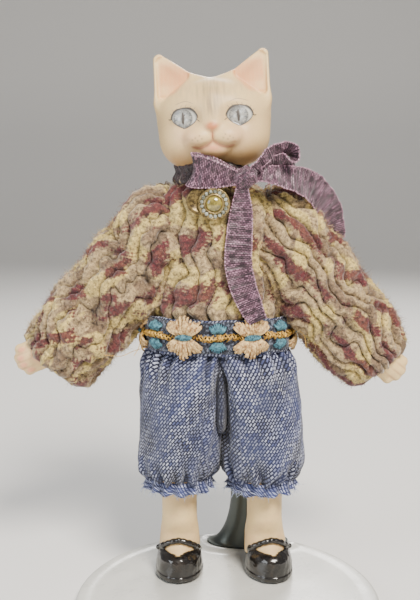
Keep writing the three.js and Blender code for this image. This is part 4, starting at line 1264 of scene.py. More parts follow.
def wool_paint(along, around, seed, wine=0.45):
    """Dyed patches over a knitted surface: along and around are millimetres on it."""
    flat = np.stack([along.ravel(), around.ravel()], 1)
    patch = wobble(flat * [0.7, 1.0], 7.5, seed)
    second = wobble(flat * [0.55, 1.0], 5.5, seed + 1)
    colour = np.tile(WOOL_CREAM, (len(flat), 1))
    colour = tint(colour, WOOL_TAUPE, 0.8 * fade(second, 0.02, 0.3))
    colour = tint(colour, WOOL_YELLOW, 0.85 * fade(-patch, 0.12, 0.3))
    # The dye's edge is broken up fibre by fibre.
    stain = wobble(flat * [0.6, 1.1], 6.0, seed + 2) + 0.24 * wobble(flat, 0.7, seed + 7)
    stain = stain + 0.12 * wobble(flat, 1.6, seed + 8)
    colour = tint(colour, WOOL_WINE, 0.92 * fade(stain, wine - 0.02, wine + 0.16))
    return colour.reshape(*along.shape, 3)


def rope_lift(phase, along, depth, twist=0.09):
    """Height of side-by-side yarn ropes. phase counts ropes around; the stitches lean in a V on each."""
    local = phase - np.floor(phase) - 0.5
    rope = np.sqrt(np.clip(1 - (2 * local) ** 2, 0, 1))
    stitch = np.cos(TAU * (along / 1.25 + 0.9 * np.abs(local)))
    return depth * rope + twist * stitch * rope


def knitted(grid, along, ropes, depth, seed, wander, sway, lump, wine, girth=None):
    """A smooth wrapped grid as knitting: the grid with its ropes, its normals and its dyed patches, darkened
    by painted shade between the ropes.

    wander is the size and share of the ropes' drift, sway its height, rate and turns, and lump the height and
    size of the soft lumps under them. girth is the millimetres around, which dye patches are spaced by.
    """
    grid = outward(grid)
    normal = grid_normals(grid, wrap_columns=True)
    if girth is None:
        girth = arc_lengths(grid)[len(grid) // 2, -1]
    columns = grid.shape[1]
    turn = np.tile(np.arange(columns) / columns, (len(grid), 1))
    flat = grid.reshape(-1, 3)
    bend = wobble(flat, wander[0], seed).reshape(turn.shape)
    phase = ropes * turn + wander[1] * bend + sway[0] * np.sin(along * sway[1] + sway[2] * turn)
    lift = rope_lift(phase, along, depth) + lump[0] * wobble(flat, lump[1], seed + 5).reshape(turn.shape)
    lift += 0.06 * wobble(flat, 0.8, seed + 9).reshape(turn.shape)
    grid = grid + normal * lift[..., None]
    paint = wool_paint(along, turn * girth, seed + 20, wine)
    # Painted shade: the paint is darkened in the grooves between the ropes.
    groove = np.clip(1.1 - (lift - lift.min()) / (lift.max() - lift.min()) * 1.75, 0, 1)
    return grid, grid_normals(grid, wrap_columns=True), paint * (1 - 0.85 * groove[..., None])


def wool_pieces(name, layers, body, seed, hairs, blend=None):
    """A knitted shell and, as a separate piece, its loose hairs. blend is two bodies, a start and an end,
    which are not used: when blend is given, both pieces only have their transforms baked into their meshes.
    """
    grid, normal, paint = layers
    piece = cloth_piece(name, grid, 0.9, WOOL, body, normal, paint)
    rng = np.random.default_rng(seed)
    count = hairs
    points, faces, colour = fuzz_on(grid, normal, count, 0.75, 0.035, rng, np.clip(paint * 1.25, 0, 0.8))
    hair = mesh_piece(f"{name}_hairs", points, faces, WOOL, body, smooth=False, paint=opaque(colour))
    for p in (piece, hair):
        if blend:
            a, b, start, end = blend
            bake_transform(p)
    return piece


def ellipse_rows(rows, count, columns):
    """A wrapped grid from rows of (z, half width, half depth, x, y), spaced evenly along the outline."""
    rows = smooth_line(rows, count)
    a = turns(columns)
    return np.stack([rows[:, 3:4] + rows[:, 1:2] * np.cos(a), rows[:, 4:5] + rows[:, 2:3] * np.sin(a),
                     rows[:, :1] + 0 * a], -1)


def build_sweater():
    body_at = centre("torso")[:2]
    neck = centre("neck_plug")[:2]
    hem = low("sweater_body")[2]
    x, y = body_at
    rows = [(hem + 0.1, 11.4, 7.2, x, y), (hem - 0.2, 11.9, 7.6, x, y), (hem + 1.2, 12.2, 8.0, x, y),
            (61, 11.2, 8.0, x, y), (68, 10.8, 7.6, x, y), (75, 11.6, 7.7, x, y), (78.6, 11.0, 7.4, x, y),
            (81.0, 8.4, 6.4, x - 0.8, y), (82.0, 6.3, 5.7, *neck), (82.9, 5.5, 5.1, *neck),
            (83.2, 5.1, 4.8, *neck)]
    grid = ellipse_rows(rows, int(190 * FINE), int(420 * FINE))
    # The standing collar dips in front, under the bow, and peaks at the doll's right.
    a = turns(grid.shape[1])
    share = fade(grid[..., 2], 80.0, 83.4)
    dip = 1.5 * np.exp(-((a - 1.5 * math.pi) / 0.7) ** 2) - 0.4 * np.exp(-((a - math.pi * 1.17) / 0.3) ** 2)
    dip += 0.25 * np.sin(a * 17)
    grid[..., 2] -= share * dip
    along = np.broadcast_to(grid[:, :1, 2], grid.shape[:2])
    layers = knitted(grid, along, 19, 1.35, 3, (11.0, 0.55), (0.3, 0.55, 9), (0.35, 5.2), 0.3)
    piece = wool_pieces("knit_sweater_body", layers, "doll", 3, 9000)
    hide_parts("sweater_body", "sweater_collar")
    for sign, side in SIDES:
        build_sleeve(sign, side)


def build_sleeve(sign, side):
    """One sleeve, knitted as a whole and then cut into the pieces above and below the elbow."""
    shoulder, elbow, mouth = arm_points(side)
    plain = side == "left"
    # Rows of (x, y, z, half width, half depth) along the arm, from inside the body to the cuff's mouth.
    inward = shoulder + np.array([-sign * 3.4, 0, 2.6])
    keys = [(*inward, 6.2, 5.2), (*(shoulder + [sign * 0.3, 0, 0.5]), 8.2, 6.6),
            (*(shoulder * 0.72 + elbow * 0.28), 8.2, 6.9), (*(shoulder * 0.35 + elbow * 0.65), 8.1, 7.0),
            (*elbow, 7.6, 6.8), (*(elbow * 0.45 + mouth * 0.55), 7.7, 6.6), (*mouth, 6.7, 6.0),
            (*(mouth + (mouth - elbow) * 0.03), 6.0, 5.4)]
    rows = smooth_line(keys, int(330 * FINE))
    path = rows[:, :3]
    tangent = unit(np.gradient(path, axis=0))
    depth_way = unit(np.array([0, 1.0, 0]) - tangent * tangent[:, 1:2])
    across = np.cross(depth_way, tangent)
    a = turns(int(360 * FINE))
    grid = (path[:, None] + across[:, None] * (rows[:, 3:4] * np.cos(a))[..., None]
            + depth_way[:, None] * (rows[:, 4:5] * np.sin(a))[..., None])
    run = distance_along(path)
    # Deep folds where the loose sleeve bags over the cuff.
    bag = np.sin(run[:, None] * 0.5 + 2.5 * np.sin(a) + (0 if plain else 1.4)) * (0.35 if plain else 0.6)
    grid = grid + (grid - path[:, None]) / 8.0 * bag[..., None]
    along = np.broadcast_to(run[:, None], grid.shape[:2])
    ropes, deep = (20, 1.45) if plain else (14, 1.35)
    seed = 40 + sign
    layers = knitted(grid, along, ropes, deep, seed, (10.0, 0.75), (0.35, 0.5, 11), (0.4, 5.0), 0.24, 50)
    # Both halves share the row where they meet, a little above the elbow.
    cut_at = int(np.searchsorted(run, run[-1] * 0.52))
    elbow_way = (mouth - elbow) / np.linalg.norm(mouth - elbow)
    upper_way = (elbow - shoulder) / np.linalg.norm(elbow - shoulder)
    upper, lower = f"{side}_upper_arm", f"{side}_lower_arm"
    halves = (("sleeve", slice(0, cut_at + 1),
               ("doll", upper, shoulder - upper_way * 5.0, shoulder + upper_way * 4.5)),
              ("cuff", slice(cut_at, len(grid)),
               (upper, lower, elbow - upper_way * 2.6, elbow + elbow_way * 3.2)))
    for part, half, blend in halves:
        piece = wool_pieces(f"{side}_knit_{part}", [layer[half] for layer in layers], None,
                            seed + len(part), 8000,
                            blend)
        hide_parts(f"{side}_{part}")


# ------------------------------------------------------------------ bloomers
def half_waist(sign, columns, crease, wide, deep, y, corner=0.24):
    """A ring that follows one half of the waist outside, and the middle crease inside."""
    u = np.arange(columns) / columns
    outer = u < 1 - corner
    t = np.where(outer, u / (1 - corner), (u - 1 + corner) / corner)
    turn = (-0.5 + t) * math.pi
    x = np.where(outer, crease + sign * wide * np.cos(turn), crease)
    return np.stack([x, np.where(outer, y + deep * np.sin(turn), y + deep * (1 - 2 * t))], 1)


def round_leg(sign, columns, x, y, wide, deep, corner=0.24):
    """A ring with its columns in step with half_waist's."""
    u = np.arange(columns) / columns
    outer = u < 1 - corner
    t = np.where(outer, u / (1 - corner), (u - 1 + corner) / corner)
    turn = np.where(outer, (-120 + 240 * t), (120 + 120 * t)) * math.pi / 180
    c, s = np.cos(turn), np.sin(turn)
    return np.stack([x + sign * wide * c, y + deep * s], 1)


# Rows of z, x, half width, half depth, share of the round ring, and fullness of the outside.
BLOOMER_ROWS = {
    "right": [(48.6, -9.2, 8.0, 9.0, 0.12, 0.8), (44.5, -9.8, 8.6, 9.5, 0.45, 1.8),
              (38.0, -9.9, 8.6, 9.6, 0.75, 2.2),
              (31.0, -10.0, 8.6, 9.2, 0.9, 2.0), (26.6, -10.0, 8.6, 8.8, 1.0, 1.0),
              (24.7, -9.9, 7.9, 7.9, 1.0, 0.0),
              (23.6, -9.9, 6.9, 7.0, 1.0, 0.0), (23.0, -9.9, 6.3, 6.4, 1.0, 0.0)],
    "left": [(48.6, 6.6, 8.0, 9.0, 0.12, 0.8), (44.5, 7.4, 8.6, 9.5, 0.45, 2.2),
             (38.0, 7.8, 8.7, 9.6, 0.75, 2.6),
             (31.0, 7.6, 8.5, 9.2, 0.9, 2.0), (26.6, 7.4, 8.3, 8.7, 1.0, 1.0),
             (24.6, 7.2, 7.6, 7.8, 1.0, 0.0),
             (23.4, 7.2, 6.7, 6.9, 1.0, 0.0), (22.8, 7.2, 6.1, 6.3, 1.0, 0.0)]}


def build_bloomers():
    y = centre("torso")[1]
    crease = centre("bloomers_seat")[0] - 0.3
    waist = centre("waistband")
    half = (high("waistband")[0] - low("waistband")[0]) / 2 - 0.4
    deep = (high("waistband")[1] - low("waistband")[1]) / 2 - 0.4
    top = low("waistband")[2] + 0.3
    columns, count = int(400 * FINE), int(200 * FINE)
    for sign, side in SIDES:
        outer = waist[0] + sign * half - crease
        shape = [(top, 0, 0, 0, 0.0, 0.0)] + BLOOMER_ROWS[side]
        rows = smooth_line(shape, count)
        rings = []
        for z, x, wide, depth, share, full in rows:
            share = min(max(share, 0), 1)
            flat = half_waist(sign, columns, crease, abs(outer) + full * (1 - share), deep + 0.4 * full, y)
            if share > 0.001:
                whole = round_leg(sign, columns, x, y, wide, depth)
                flat = flat * (1 - share) + whole * share
            rings.append(np.concatenate([flat, np.full((columns, 1), z)], 1))
        grid = np.array(rings)
        grid = smooth_wrap(grid, 14)
        if sign < 0:
            grid = grid[:, ::-1]
        grid = outward(grid)
        around = arc_lengths(grid)
        height = distance_along(grid.mean(1))
        # Arc measured from the front crease side, so that the weave runs on evenly.
        turn = np.tile(np.arange(columns) / columns, (count, 1))
        cloth = np.stack([-54 * turn, -np.broadcast_to(height[:, None], around.shape), 0 * around], -1)
        normal = grid_normals(grid, wrap_columns=True)
        z = grid[..., 2]
        bend = wobble(grid.reshape(-1, 3) * [1, 1, 0.45], 9.0, 60 + sign).reshape(z.shape)
        near_waist, near_hem = fade(z, 41.5, 49.5), fade(-z, -29.5, -24.5)
        gathers = near_waist * 0.6 * np.sin(turn * TAU * 17 + 2.2 * bend)
        gathers = gathers + near_hem * 0.55 * np.sin(turn * TAU * 15 + 3 * bend)
        lift = gathers + 0.55 * bend * (1 - 0.5 * near_waist)
        # A few long folds run from the gathers into the full part of the leg.
        lift += 0.32 * np.sin(turn * TAU * 7 + 1.5 * bend
                              + 0.06 * z) * (0.3 + 0.7 * np.maximum(near_waist, near_hem))
        grid = grid + normal * lift[..., None]
        a = np.radians(52)
        over = np.sin(TAU * (cloth[..., 0] * np.sin(a) - cloth[..., 1] * np.cos(a)) / 0.62)
        normal = grid_normals(grid, wrap_columns=True)
        grid = grid + normal * (0.035 * over)[..., None]
        normal = grid_normals(grid, wrap_columns=True)
        # Painted shade: darker in the hollows of the folds, along the middle crease and towards the hem; the
        # tone also varies at random.
        crease_shade = 1 - 0.55 * np.exp(-((np.abs(grid[..., 0] - crease) - 0.1) / 0.9) ** 2)
        shade = (0.62 + 0.5 * fade(lift, -0.9, 0.7)) * crease_shade * (1 - 0.25 * near_hem)
        tone = np.clip(0.5 + 0.5 * wobble(grid.reshape(-1, 3), 14, 77), 0, 1).reshape(z.shape)
        paint = np.stack([shade * (0.86 + 0.2 * tone), shade * (0.88 + 0.16 * tone), shade], -1)
        piece = cloth_piece(f"{side}_bloomer", grid, 0.35, DENIM, None, normal, paint, cloth)
        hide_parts(f"{side}_bloomer_leg")
        ring = np.linalg.norm(np.roll(grid, -1, 1) - grid, axis=2).sum(1)
        hinge = anchor(f"{side}_hip")
        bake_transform(piece)
        build_frill(sign, side, shape[-1][1], y, shape[-1][0])
    build_gusset(crease, y, top)


def build_gusset(crease, y, top):
    """The narrow middle of the bloomers, between and behind the two legs."""
    rows = [(33.2, 0.4, 3.0, crease, y), (33.6, 1.1, 5.2, crease, y), (37.0, 1.5, 6.6, crease, y),
            (43.0, 1.6, 7.4, crease, y), (top - 0.4, 1.6, 7.9, crease, y), (top, 0.9, 6.9, crease, y)]
    grid = outward(ellipse_rows(rows, 60, 90))
    around = arc_lengths(grid)
    cloth = np.stack([around, grid[..., 2], 0 * around], -1)
    # Painted shade: the gusset between and behind the legs is darkened evenly.
    paint = np.full((*grid.shape[:2], 3), 0.45)
    piece = cloth_piece("bloomer_gusset", grid, 0.35, DENIM, "doll", None, paint, cloth)
    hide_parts("bloomers_seat")


def build_frill(sign, side, x, y, top):
    """The frayed hem below the gathers: a ruffled strip and its loose weft threads."""
    columns, count = ((360, 26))
    a = turns(columns)
    t = np.linspace(0, 1, count)[:, None]
    ruffle = (0.15 + 0.85 * t) * (0.75 * np.sin(a * 15 + sign) + 0.35 * np.sin(a * 9 + 2))
    out = 6.25 + 0.95 * t + ruffle * 0.6
    z = top + 0.4 - 2.3 * t + 0.22 * t * np.sin(a * 11 + 1)
    grid = np.stack([x + out * np.cos(a), y + (out + 0.2) * np.sin(a), z + 0 * a], -1)
    grid = outward(grid)
    around = arc_lengths(grid)
    cloth = np.stack([-around, grid[..., 2], 0 * around], -1)
    # Painted light and shade: the ruffles are lighter on their crests and darker in their hollows, more
    # towards the edge; the frill is also paler overall.
    shade = 0.95 + 0.3 * np.sin(a * 15 + sign) * t
    paint = np.stack([shade * 1.25, shade * 1.25, shade * 1.35], -1)
    piece = cloth_piece(f"{side}_hem_frill", grid, 0.3, DENIM, f"{side}_leg", None, paint, cloth)
    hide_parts(f"{side}_frill")
    rng = np.random.default_rng(200 + sign)
    number = 210
    pick = rng.integers(0, columns, number)
    row = rng.integers(count - 5, count, number)
    roots = grid[row, pick]
    ways = np.stack([np.cos(a[pick]), np.sin(a[pick]), -1.6 + rng.normal(size=number) * 0.5], 1)
    ways = unit(ways + rng.normal(size=(number, 3)) * 0.35)
    points, faces = fibres(roots, ways, rng.uniform(0.4, 1.2, number), 0.075, rng, 0.7, 5)
    piece = mesh_piece(f"{side}_frill_threads", points, faces, FRAY, f"{side}_leg", smooth=False)


WOOL = wool()
DENIM = denim()
FRAY = thread("frayed_thread", linear(120, 134, 170), linear(206, 214, 232), 0.85)


# ------------------------------------------------------------------ waistband and embroidered belt
class BeltLine:
    """The belt's outline: places given by millimetres along it from the middle of the front."""

    def __init__(self):
        lowest, highest = low("belt_trim"), high("belt_trim")
        self.at = (lowest + highest) / 2
        self.half = (highest - lowest) / 2
        self.bottom, self.top = lowest[2], highest[2]
        t = np.linspace(-math.pi, math.pi, 1441)
        x, y = self.half[0] * np.sin(t), -self.half[1] * np.cos(t)
        run = np.concatenate([[0], np.cumsum(np.hypot(np.diff(x), np.diff(y)))])
        self.turn, self.run = t, run - run[-1] / 2
        self.length = run[-1]

    def place(self, points):
        """(along, z, out) to the row frame. out is the height over the trim's face."""
        points = np.asarray(points, float)
        along = (points[..., 0] + self.length / 2) % self.length - self.length / 2
        t = np.interp(along, self.run, self.turn)
        sin, cos = np.sin(t), np.cos(t)
        normal = np.stack([sin / self.half[0], -cos / self.half[1]], -1)
        normal = unit(normal)
        x = self.at[0] + self.half[0] * sin + normal[..., 0] * points[..., 2]
        y = self.at[1] - self.half[1] * cos + normal[..., 1] * points[..., 2]
        return np.stack([x, y, points[..., 1]], -1)


def belt_ring(belt, out, lowest, highest, count, columns, waves):
    """A wrapped grid around the belt, with rounded edges and a slight wave in its rims."""
    t = np.linspace(0, 1, count)[:, None]
    along = np.linspace(-belt.length / 2, belt.length / 2, columns, endpoint=False)
    edge = np.sin(np.linspace(0, math.pi, count))[:, None] ** 0.35
    z = lowest + (highest - lowest) * t + 0 * along
    z = z + waves * (2 * t - 1) * np.sin(along * 0.9)
    points = np.stack([0 * t + along, z, out * edge + 0.12 * np.sin(along * 2.1 + 5 * t) + 0 * z], -1)
    return outward(belt.place(points))


def strand(belt, path, radius, sides=6, count=14):
    """One stitch of thread: a tube through (along, z, out) points on the belt."""
    line = belt.place(smooth_line(path, count))
    t = np.linspace(0, 1, count)
    return tube(line, radius * (0.65 + 0.35 * np.sin(math.pi * t)), sides)


def lobe(belt, at, side, reach, wide, count, rng, radius, raised):
    """A fan of stitches from one root: half a flower, or a bud. side is +1 upwards and -1 downwards."""
    stitches = []
    for layer in (0, 1):
        for k in range(count):
            turn = (k + 0.5 + rng.normal() * 0.15) / count * 2 - 1
            swing = wide * math.sin(1.3 * turn)
            # The lobe's edge is scalloped, longest a little beside the middle.
            scallop = 0.9 + 0.12 * math.cos(turn * 7.5)
            size = reach * scallop * (0.3 + 0.7 * math.cos(1.3 * turn)) * (1 - 0.16 * layer)
            size *= 1 + rng.normal() * 0.035
            tip = (at[0] + swing, at[1] + side * size)
            root = (at[0] + 0.3 * swing, at[1] + side * 0.15)
            mid = ((root[0] + tip[0]) / 2 + 0.06 * swing, (root[1] + tip[1]) / 2)
            top = raised + 0.22 * layer
            path = [(*root, 0.7), (*mid, top), (tip[0], tip[1], top * 0.72),
                    (tip[0], tip[1] + side * 0.05, 0.05)]
            stitches.append(strand(belt, path, radius))
    return stitches


def build_belt():
    belt = BeltLine()
    # The waistband under the trim shows as a denim edge above and below it.
    grid = belt_ring(belt, 0.12, low("waistband")[2] - 0.2, high("waistband")[2] + 0.35, int(60 * FINE),
                     int(520 * FINE), 0.1)
    middle = np.array([belt.at[0], belt.at[1], 0])
    grid = middle + (grid - middle) * [0.985, 0.98, 1]
    around = arc_lengths(grid)
    cloth = np.stack([around, grid[..., 2], 0 * around], -1)
    paint = np.full((*grid.shape[:2], 3), 0.8)
    piece = cloth_piece("denim_waistband", grid, 0.6, DENIM, "doll", None, paint, cloth)
    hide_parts("waistband")

    grid = belt_ring(belt, 0.35, belt.bottom + 0.3, belt.top - 0.25, int(56 * FINE), int(620 * FINE), 0.08)
    normal = grid_normals(grid, wrap_columns=True)
    flat = grid.reshape(-1, 3)
    grid = grid + normal * (0.07 * wobble(flat, 0.9, 5)).reshape(grid.shape[:2])[..., None]
    points, faces = shell(grid, 0.3)
    s = Shader("speckled_trim")
    fleck = s.ramp(s.noise(1500, 4, 0.7), (0.48, 0.0), (0.64, 1.0))
    colour = s.mix(fleck, linear(18, 21, 34), linear(112, 122, 142))
    s.set(Base_Color=colour, Roughness=0.9, Sheen_Weight=0.25)
    piece = mesh_piece("embroidered_trim", points, faces, s.bump(fleck, 0.08, 0.7).material, "doll")
    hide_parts("belt_trim")

    rng = np.random.default_rng(17)
    z = (belt.top + belt.bottom) / 2 + 0.1
    period = belt.length / 6
    first = -0.5 * period - 0.15
    cream, blue, gold = [], [], []
    for k in range(6):
        at = first + k * period
        for side, reach in ((1, 3.9), (-1, 4.1)):
            cream += lobe(belt, (at, z + 0.1), side, reach, 3.5, 15, rng, 0.27, 1.0)
        # The turquoise eye on the flower: short stitches side by side.
        for j in range(9):
            x = at - 1.35 + 0.34 * j
            tall = 0.62 * math.sqrt(max(0.08, 1 - ((j - 4) / 4.6) ** 2))
            tilt = 0.18
            blue.append(strand(belt, [(x - tilt, z - tall, 1.0), (x, z, 1.42), (x + tilt, z + tall, 1.0)],
                               0.21, 6, 9))
        bud = at + period / 2
        for side in (1, -1):
            for j in range(8):
                turn = (j - 3.5) / 3.5
                for layer in (0, 1):
                    size = (2.45 - 0.9 * abs(turn)) * (1 - 0.2 * layer)
                    root = (bud + 0.35 * turn * (1 + layer), z + side * 0.85, 0.35)
                    tip = (bud + turn * 1.55, z + side * (0.9 + size * 0.85), 0.35)
                    mid = (bud + turn * 1.1, z + side * (0.85 + size * 0.5), 0.8 + 0.15 * layer)
                    blue.append(strand(belt, [root, mid, tip], 0.23, 6, 9))
    # The gold chain: three strands that cross over each other along the belt.
    steps = 900
    along = np.linspace(-belt.length / 2, belt.length / 2, steps)
    for k in range(3):
        turn = along * TAU / 2.3 + k * TAU / 3
        # The chain dives under each flower.
        away = np.abs((along - first + period / 2) % period - period / 2)
        under = fade(-away, -3.4, -2.2)
        path = np.stack([along, z + 0.5 * np.sin(turn),
                         0.6 + (0.3 - 0.2 * under) * np.cos(2 * turn) - 0.4 * under], 1)
        path[:, 1] += 0.12 * np.sin(along * 5.3 + k) + 0.25 * np.sin(along * 0.8)
        gold.append(tube(belt.place(path), 0.16, 6))
    for k in range(70):
        x = rng.uniform(-belt.length / 2, belt.length / 2)
        lift = rng.uniform(0.5, 0.9)
        way = rng.choice([-1, 1])
        gold.append(strand(belt, [(x, z - 0.7 * way, 0.4), (x + 0.5, z, lift + 0.35),
                                  (x + 0.9, z + 0.75 * way, 0.4)],
                           0.13, 5, 8))
    cream_thread = thread("cream_thread", linear(132, 92, 52), linear(232, 200, 142), 0.75)
    blue_thread = thread("turquoise_thread", linear(16, 52, 68), linear(84, 142, 158), 0.6)
    gold_thread = thread("gold_thread", linear(122, 80, 22), linear(228, 186, 92), 0.45, 0.35)
    for name, parts, material in (("belt_flowers", cream, cream_thread), ("belt_buds", blue, blue_thread),
                                  ("belt_chain", gold, gold_thread)):
        mesh_piece(name, *merged(parts), material, "doll")

    # Loose ends of the gold thread stick out at both sides of the belt.
    ends = [[(-15.8, 9.0, 54.3), (-17.0, 7.0, 53.0), (-17.5, 5.6, 51.0), (-18.4, 4.8, 49.6)],
            [(-15.9, 8.6, 50.6), (-18.5, 6.6, 50.2), (-21.0, 5.4, 49.4), (-24.0, 5.0, 49.7),
             (-27.0, 4.6, 49.5)],
            [(-15.6, 9.4, 53.6), (-16.8, 7.4, 53.9), (-17.2, 6.0, 52.3)],
            [(12.6, 9.0, 53.9), (14.2, 7.0, 54.2), (15.2, 6.0, 53.0), (15.4, 5.4, 50.8)],
            [(12.6, 9.4, 54.6), (13.6, 7.2, 55.2), (14.4, 6.4, 54.0)]]
    loose = [tube(smooth_line(path, 40), 0.07, 5) for path in ends]
    mesh_piece("loose_gold_threads", *merged(loose), gold_thread, "doll")


# ------------------------------------------------------------------ ribbon bow
def ribbon_strip(name, keys, count, body, cup):
    """A length of ribbon and its picot edges, as two pieces.

    Keys are rows of x, y and z from the knot's middle, the width's direction in x, y and z, and the width.
    """
    across, thick = 22, 0.22
    keys = np.array(keys, float)
    keys[:, :3] += centre("ribbon_knot")
    rows = smooth_line(keys, count)
    path, way, width = rows[:, :3], rows[:, 3:6], rows[:, 6]
    tangent = unit(np.gradient(path, axis=0))
    way = unit(way - tangent * (way * tangent).sum(1, keepdims=True))
    face = np.cross(tangent, way)
    run = distance_along(path)
    t = np.linspace(-1, 1, across)
    # The ribbon is a little cupped, its edges ripple, and its cross ribs stand out.
    ripple = 0.12 * np.sin(run[:, None] * 1.7 + 2 * t) + 0.08 * np.sin(run[:, None] * 3.9 - t)
    rib = 0.035 * np.sin(run[:, None] * TAU / 0.42) + 0 * t
    grid = (path[:, None] + way[:, None] * (width[:, None] / 2 * t)[..., None]
            + face[:, None] * (cup * (1 - t**2) + ripple + rib)[..., None])
    normal = grid_normals(grid)
    points, faces = shell(grid, thick, False, normal)
    cloth = np.stack([width[:, None] / 2 * t, run[:, None] + 0 * t, 0 * run[:, None] + 0 * t], -1)
    piece = mesh_piece(name, points, faces, RIBBON, body, cloth=np.tile(cloth.reshape(-1, 3), (2, 1)))
    # Picot edges: a row of small thread loops down each side.
    places, sizes = [], []
    every = 0.36
    for side in (0, -1):
        edge = grid[:, side] - normal[:, side] * thick / 2
        edge_run = distance_along(edge)
        stops = np.arange(0, edge_run[-1], every)
        at = np.stack([np.interp(stops, edge_run, edge[:, k]) for k in range(3)], 1)
        places.append(at)
        sizes.append(0.16 + 0.05 * np.sin(stops * 9))
    points, faces = beads(np.concatenate(places), np.concatenate(sizes), 5, 6)
    edging = mesh_piece(f"{name}_picot", points, faces, PICOT, body)
    return piece, edging


def build_bow():
    kx, ky, kz = centre("ribbon_knot")
    # The band around the neck, under the chin, in a darker copy of the ribbon that paints the chin's shadow
    # on it.
    neck = centre("neck_plug")
    grid = []
    for t in np.linspace(0, 1, 36):
        a = turns(240)
        fold = 0.22 * np.sin(t * math.pi * 3 + 0.6 * np.sin(a * 5)) + 0.16 * np.sin(a * 23 + 5 * t)
        r = 6.95 + 0.5 * (1 - t) + fold
        grid.append(np.stack([neck[0] + r * np.cos(a), neck[1] + (r - 0.2) * np.sin(a),
                              83.2 + 3.9 * t + 0.25 * np.sin(a * 3) + 0 * a], 1))
    grid = outward(np.array(grid))
    around = arc_lengths(grid)
    cloth = np.stack([grid[..., 2], around, 0 * around], -1)
    piece = cloth_piece("neck_ribbon", grid, 0.3, RIBBON_IN_SHADE, "doll", None, None, cloth)
    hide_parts("ribbon_neck_band")

    # The knot: ribbon wound over itself, with folds that run down to the tails.
    columns, count = ((220, 140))
    a = turns(columns)
    t = np.linspace(-1, 1, count)[:, None]
    wide = 2.1 * (1 - 0.55 * np.abs(t) ** 2.6)
    folds = 0.14 * np.sin(t * 9 + 1.2 * np.sin(a)) + 0.06 * np.sin(a * 8 + 3 * t)
    tall = 2.25
    grid = np.stack([kx - 0.1 + tall * t + 0 * a, ky - 0.9 + (wide * 0.72 + folds) * np.cos(a),
                     kz + 0.3 + 0.35 * t + (wide + folds) * np.sin(a)], -1)
    grid = outward(grid)
    around = arc_lengths(grid)
    cloth = np.stack([grid[..., 0], around, 0 * around], -1)
    points, faces = shell(grid, 0.25)
    piece = mesh_piece("bow_knot", points, faces, RIBBON, "doll",
                       cloth=np.tile(cloth.reshape(-1, 3), (2, 1)))
    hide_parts("ribbon_knot")

    loop, _ = ribbon_strip("bow_right_loop", [
        (-0.8, -1.3, 0.0, 0, -0.1, 1, 1.8), (-3.0, -2.1, 0.3, 0.05, -0.2, 1, 3.2),
        (-6.0, -2.6, 0.8, 0.12, -0.2, 1, 4.9), (-8.9, -2.2, 1.3, 0.26, -0.1, 1, 5.8),
        (-10.1, -1.2, 1.6, 0.34, 0.1, 1, 5.8), (-9.3, -0.3, 2.0, 0.3, 0.2, 1, 5.6),
        (-6.2, -0.1, 1.7, 0.1, 0.1, 1, 4.4), (-3.0, -0.2, 0.9, 0, 0.1, 1, 2.6),
        (-0.8, -0.3, 0.2, 0, 0, 1, 1.6)], 170, "doll", 0.45)
    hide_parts("ribbon_right_loop")
    loop, _ = ribbon_strip("bow_left_loop", [
        (0.8, -0.6, 0.8, -0.6, -1, 0.7, 1.9), (2.4, -0.9, 2.3, -0.5, -1, 0.7, 3.2),
        (4.4, -0.5, 4.2, -0.4, -1, 0.75, 4.4), (6.6, 0.2, 5.4, -0.1, -1, 0.7, 4.8),
        (8.4, 0.8, 5.2, 0.25, -1, 0.6, 4.8), (9.0, 1.2, 3.9, 0.4, -1, 0.5, 4.8),
        (8.0, 1.4, 2.9, 0.2, -0.7, 0.95, 5.2), (5.6, 1.0, 2.1, 0.1, -0.6, 1.0, 4.8),
        (3.2, 0.3, 0.9, 0, -0.8, 0.9, 3.0), (0.9, -0.2, 0.2, 0, -0.7, 0.8, 1.8)],
        190, "doll", 0.2)
    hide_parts("ribbon_left_loop")
    tail, _ = ribbon_strip("bow_front_tail", [
        (-0.6, -0.9, -0.9, 1, 0, 0.1, 1.8), (-0.7, -1.3, -2.6, 1, 0.1, 0, 2.7),
        (-0.8, -1.2, -6.5, 1, -0.06, 0, 4.2), (-1.2, -1.4, -11.5, 1, 0.05, -0.05, 4.9),
        (-1.3, -1.5, -16.0, 1, 0.14, 0.05, 5.1), (-0.3, -1.4, -20.5, 1, 0.05, 0.14, 4.9),
        (1.3, -1.6, -24.4, 0.95, -0.05, 0.26, 4.3), (2.6, -1.5, -26.9, 0.9, -0.05, 0.4, 3.3)],
        230, "doll", -0.3)
    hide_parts("ribbon_front_tail")
    tail, edging = ribbon_strip("bow_shoulder_tail", [
        (0.9, -0.6, 0.2, 0, -0.5, -1, 2.0), (3.6, -0.7, 0.9, -0.1, -0.5, -1, 2.9),
        (7.0, 0.4, 0.5, -0.3, -0.6, -1, 4.2), (10.6, 2.4, -0.3, -0.5, -0.65, -0.9, 5.2),
        (13.8, 5.0, -2.0, -0.75, -0.65, -0.7, 5.6), (16.4, 7.4, -5.2, -0.9, -0.6, -0.3, 5.6),
        (17.9, 9.6, -8.6, -0.95, -0.6, 0, 5.4), (18.4, 10.2, -12.4, -1, -0.5, 0.1, 5.2)],
        230, None, 0.25)
    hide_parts("ribbon_shoulder_tail")
    shoulder = anchor("left_shoulder")
    for piece in (tail, edging):
        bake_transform(piece)


# ------------------------------------------------------------------ brooch, clip and hidden parts
def disc_points(at, rows, sides=48):
    """Rings facing -Y: rows are (radius, how far forward)."""
    a = turns(sides)
    grid = np.array([[(at[0] + r * math.cos(t), at[1] - out, at[2] + r * math.sin(t)) for t in a] for r,
                     out in rows])
    return grid.reshape(-1, 3), grid_faces(len(rows), sides, wrap_columns=True)


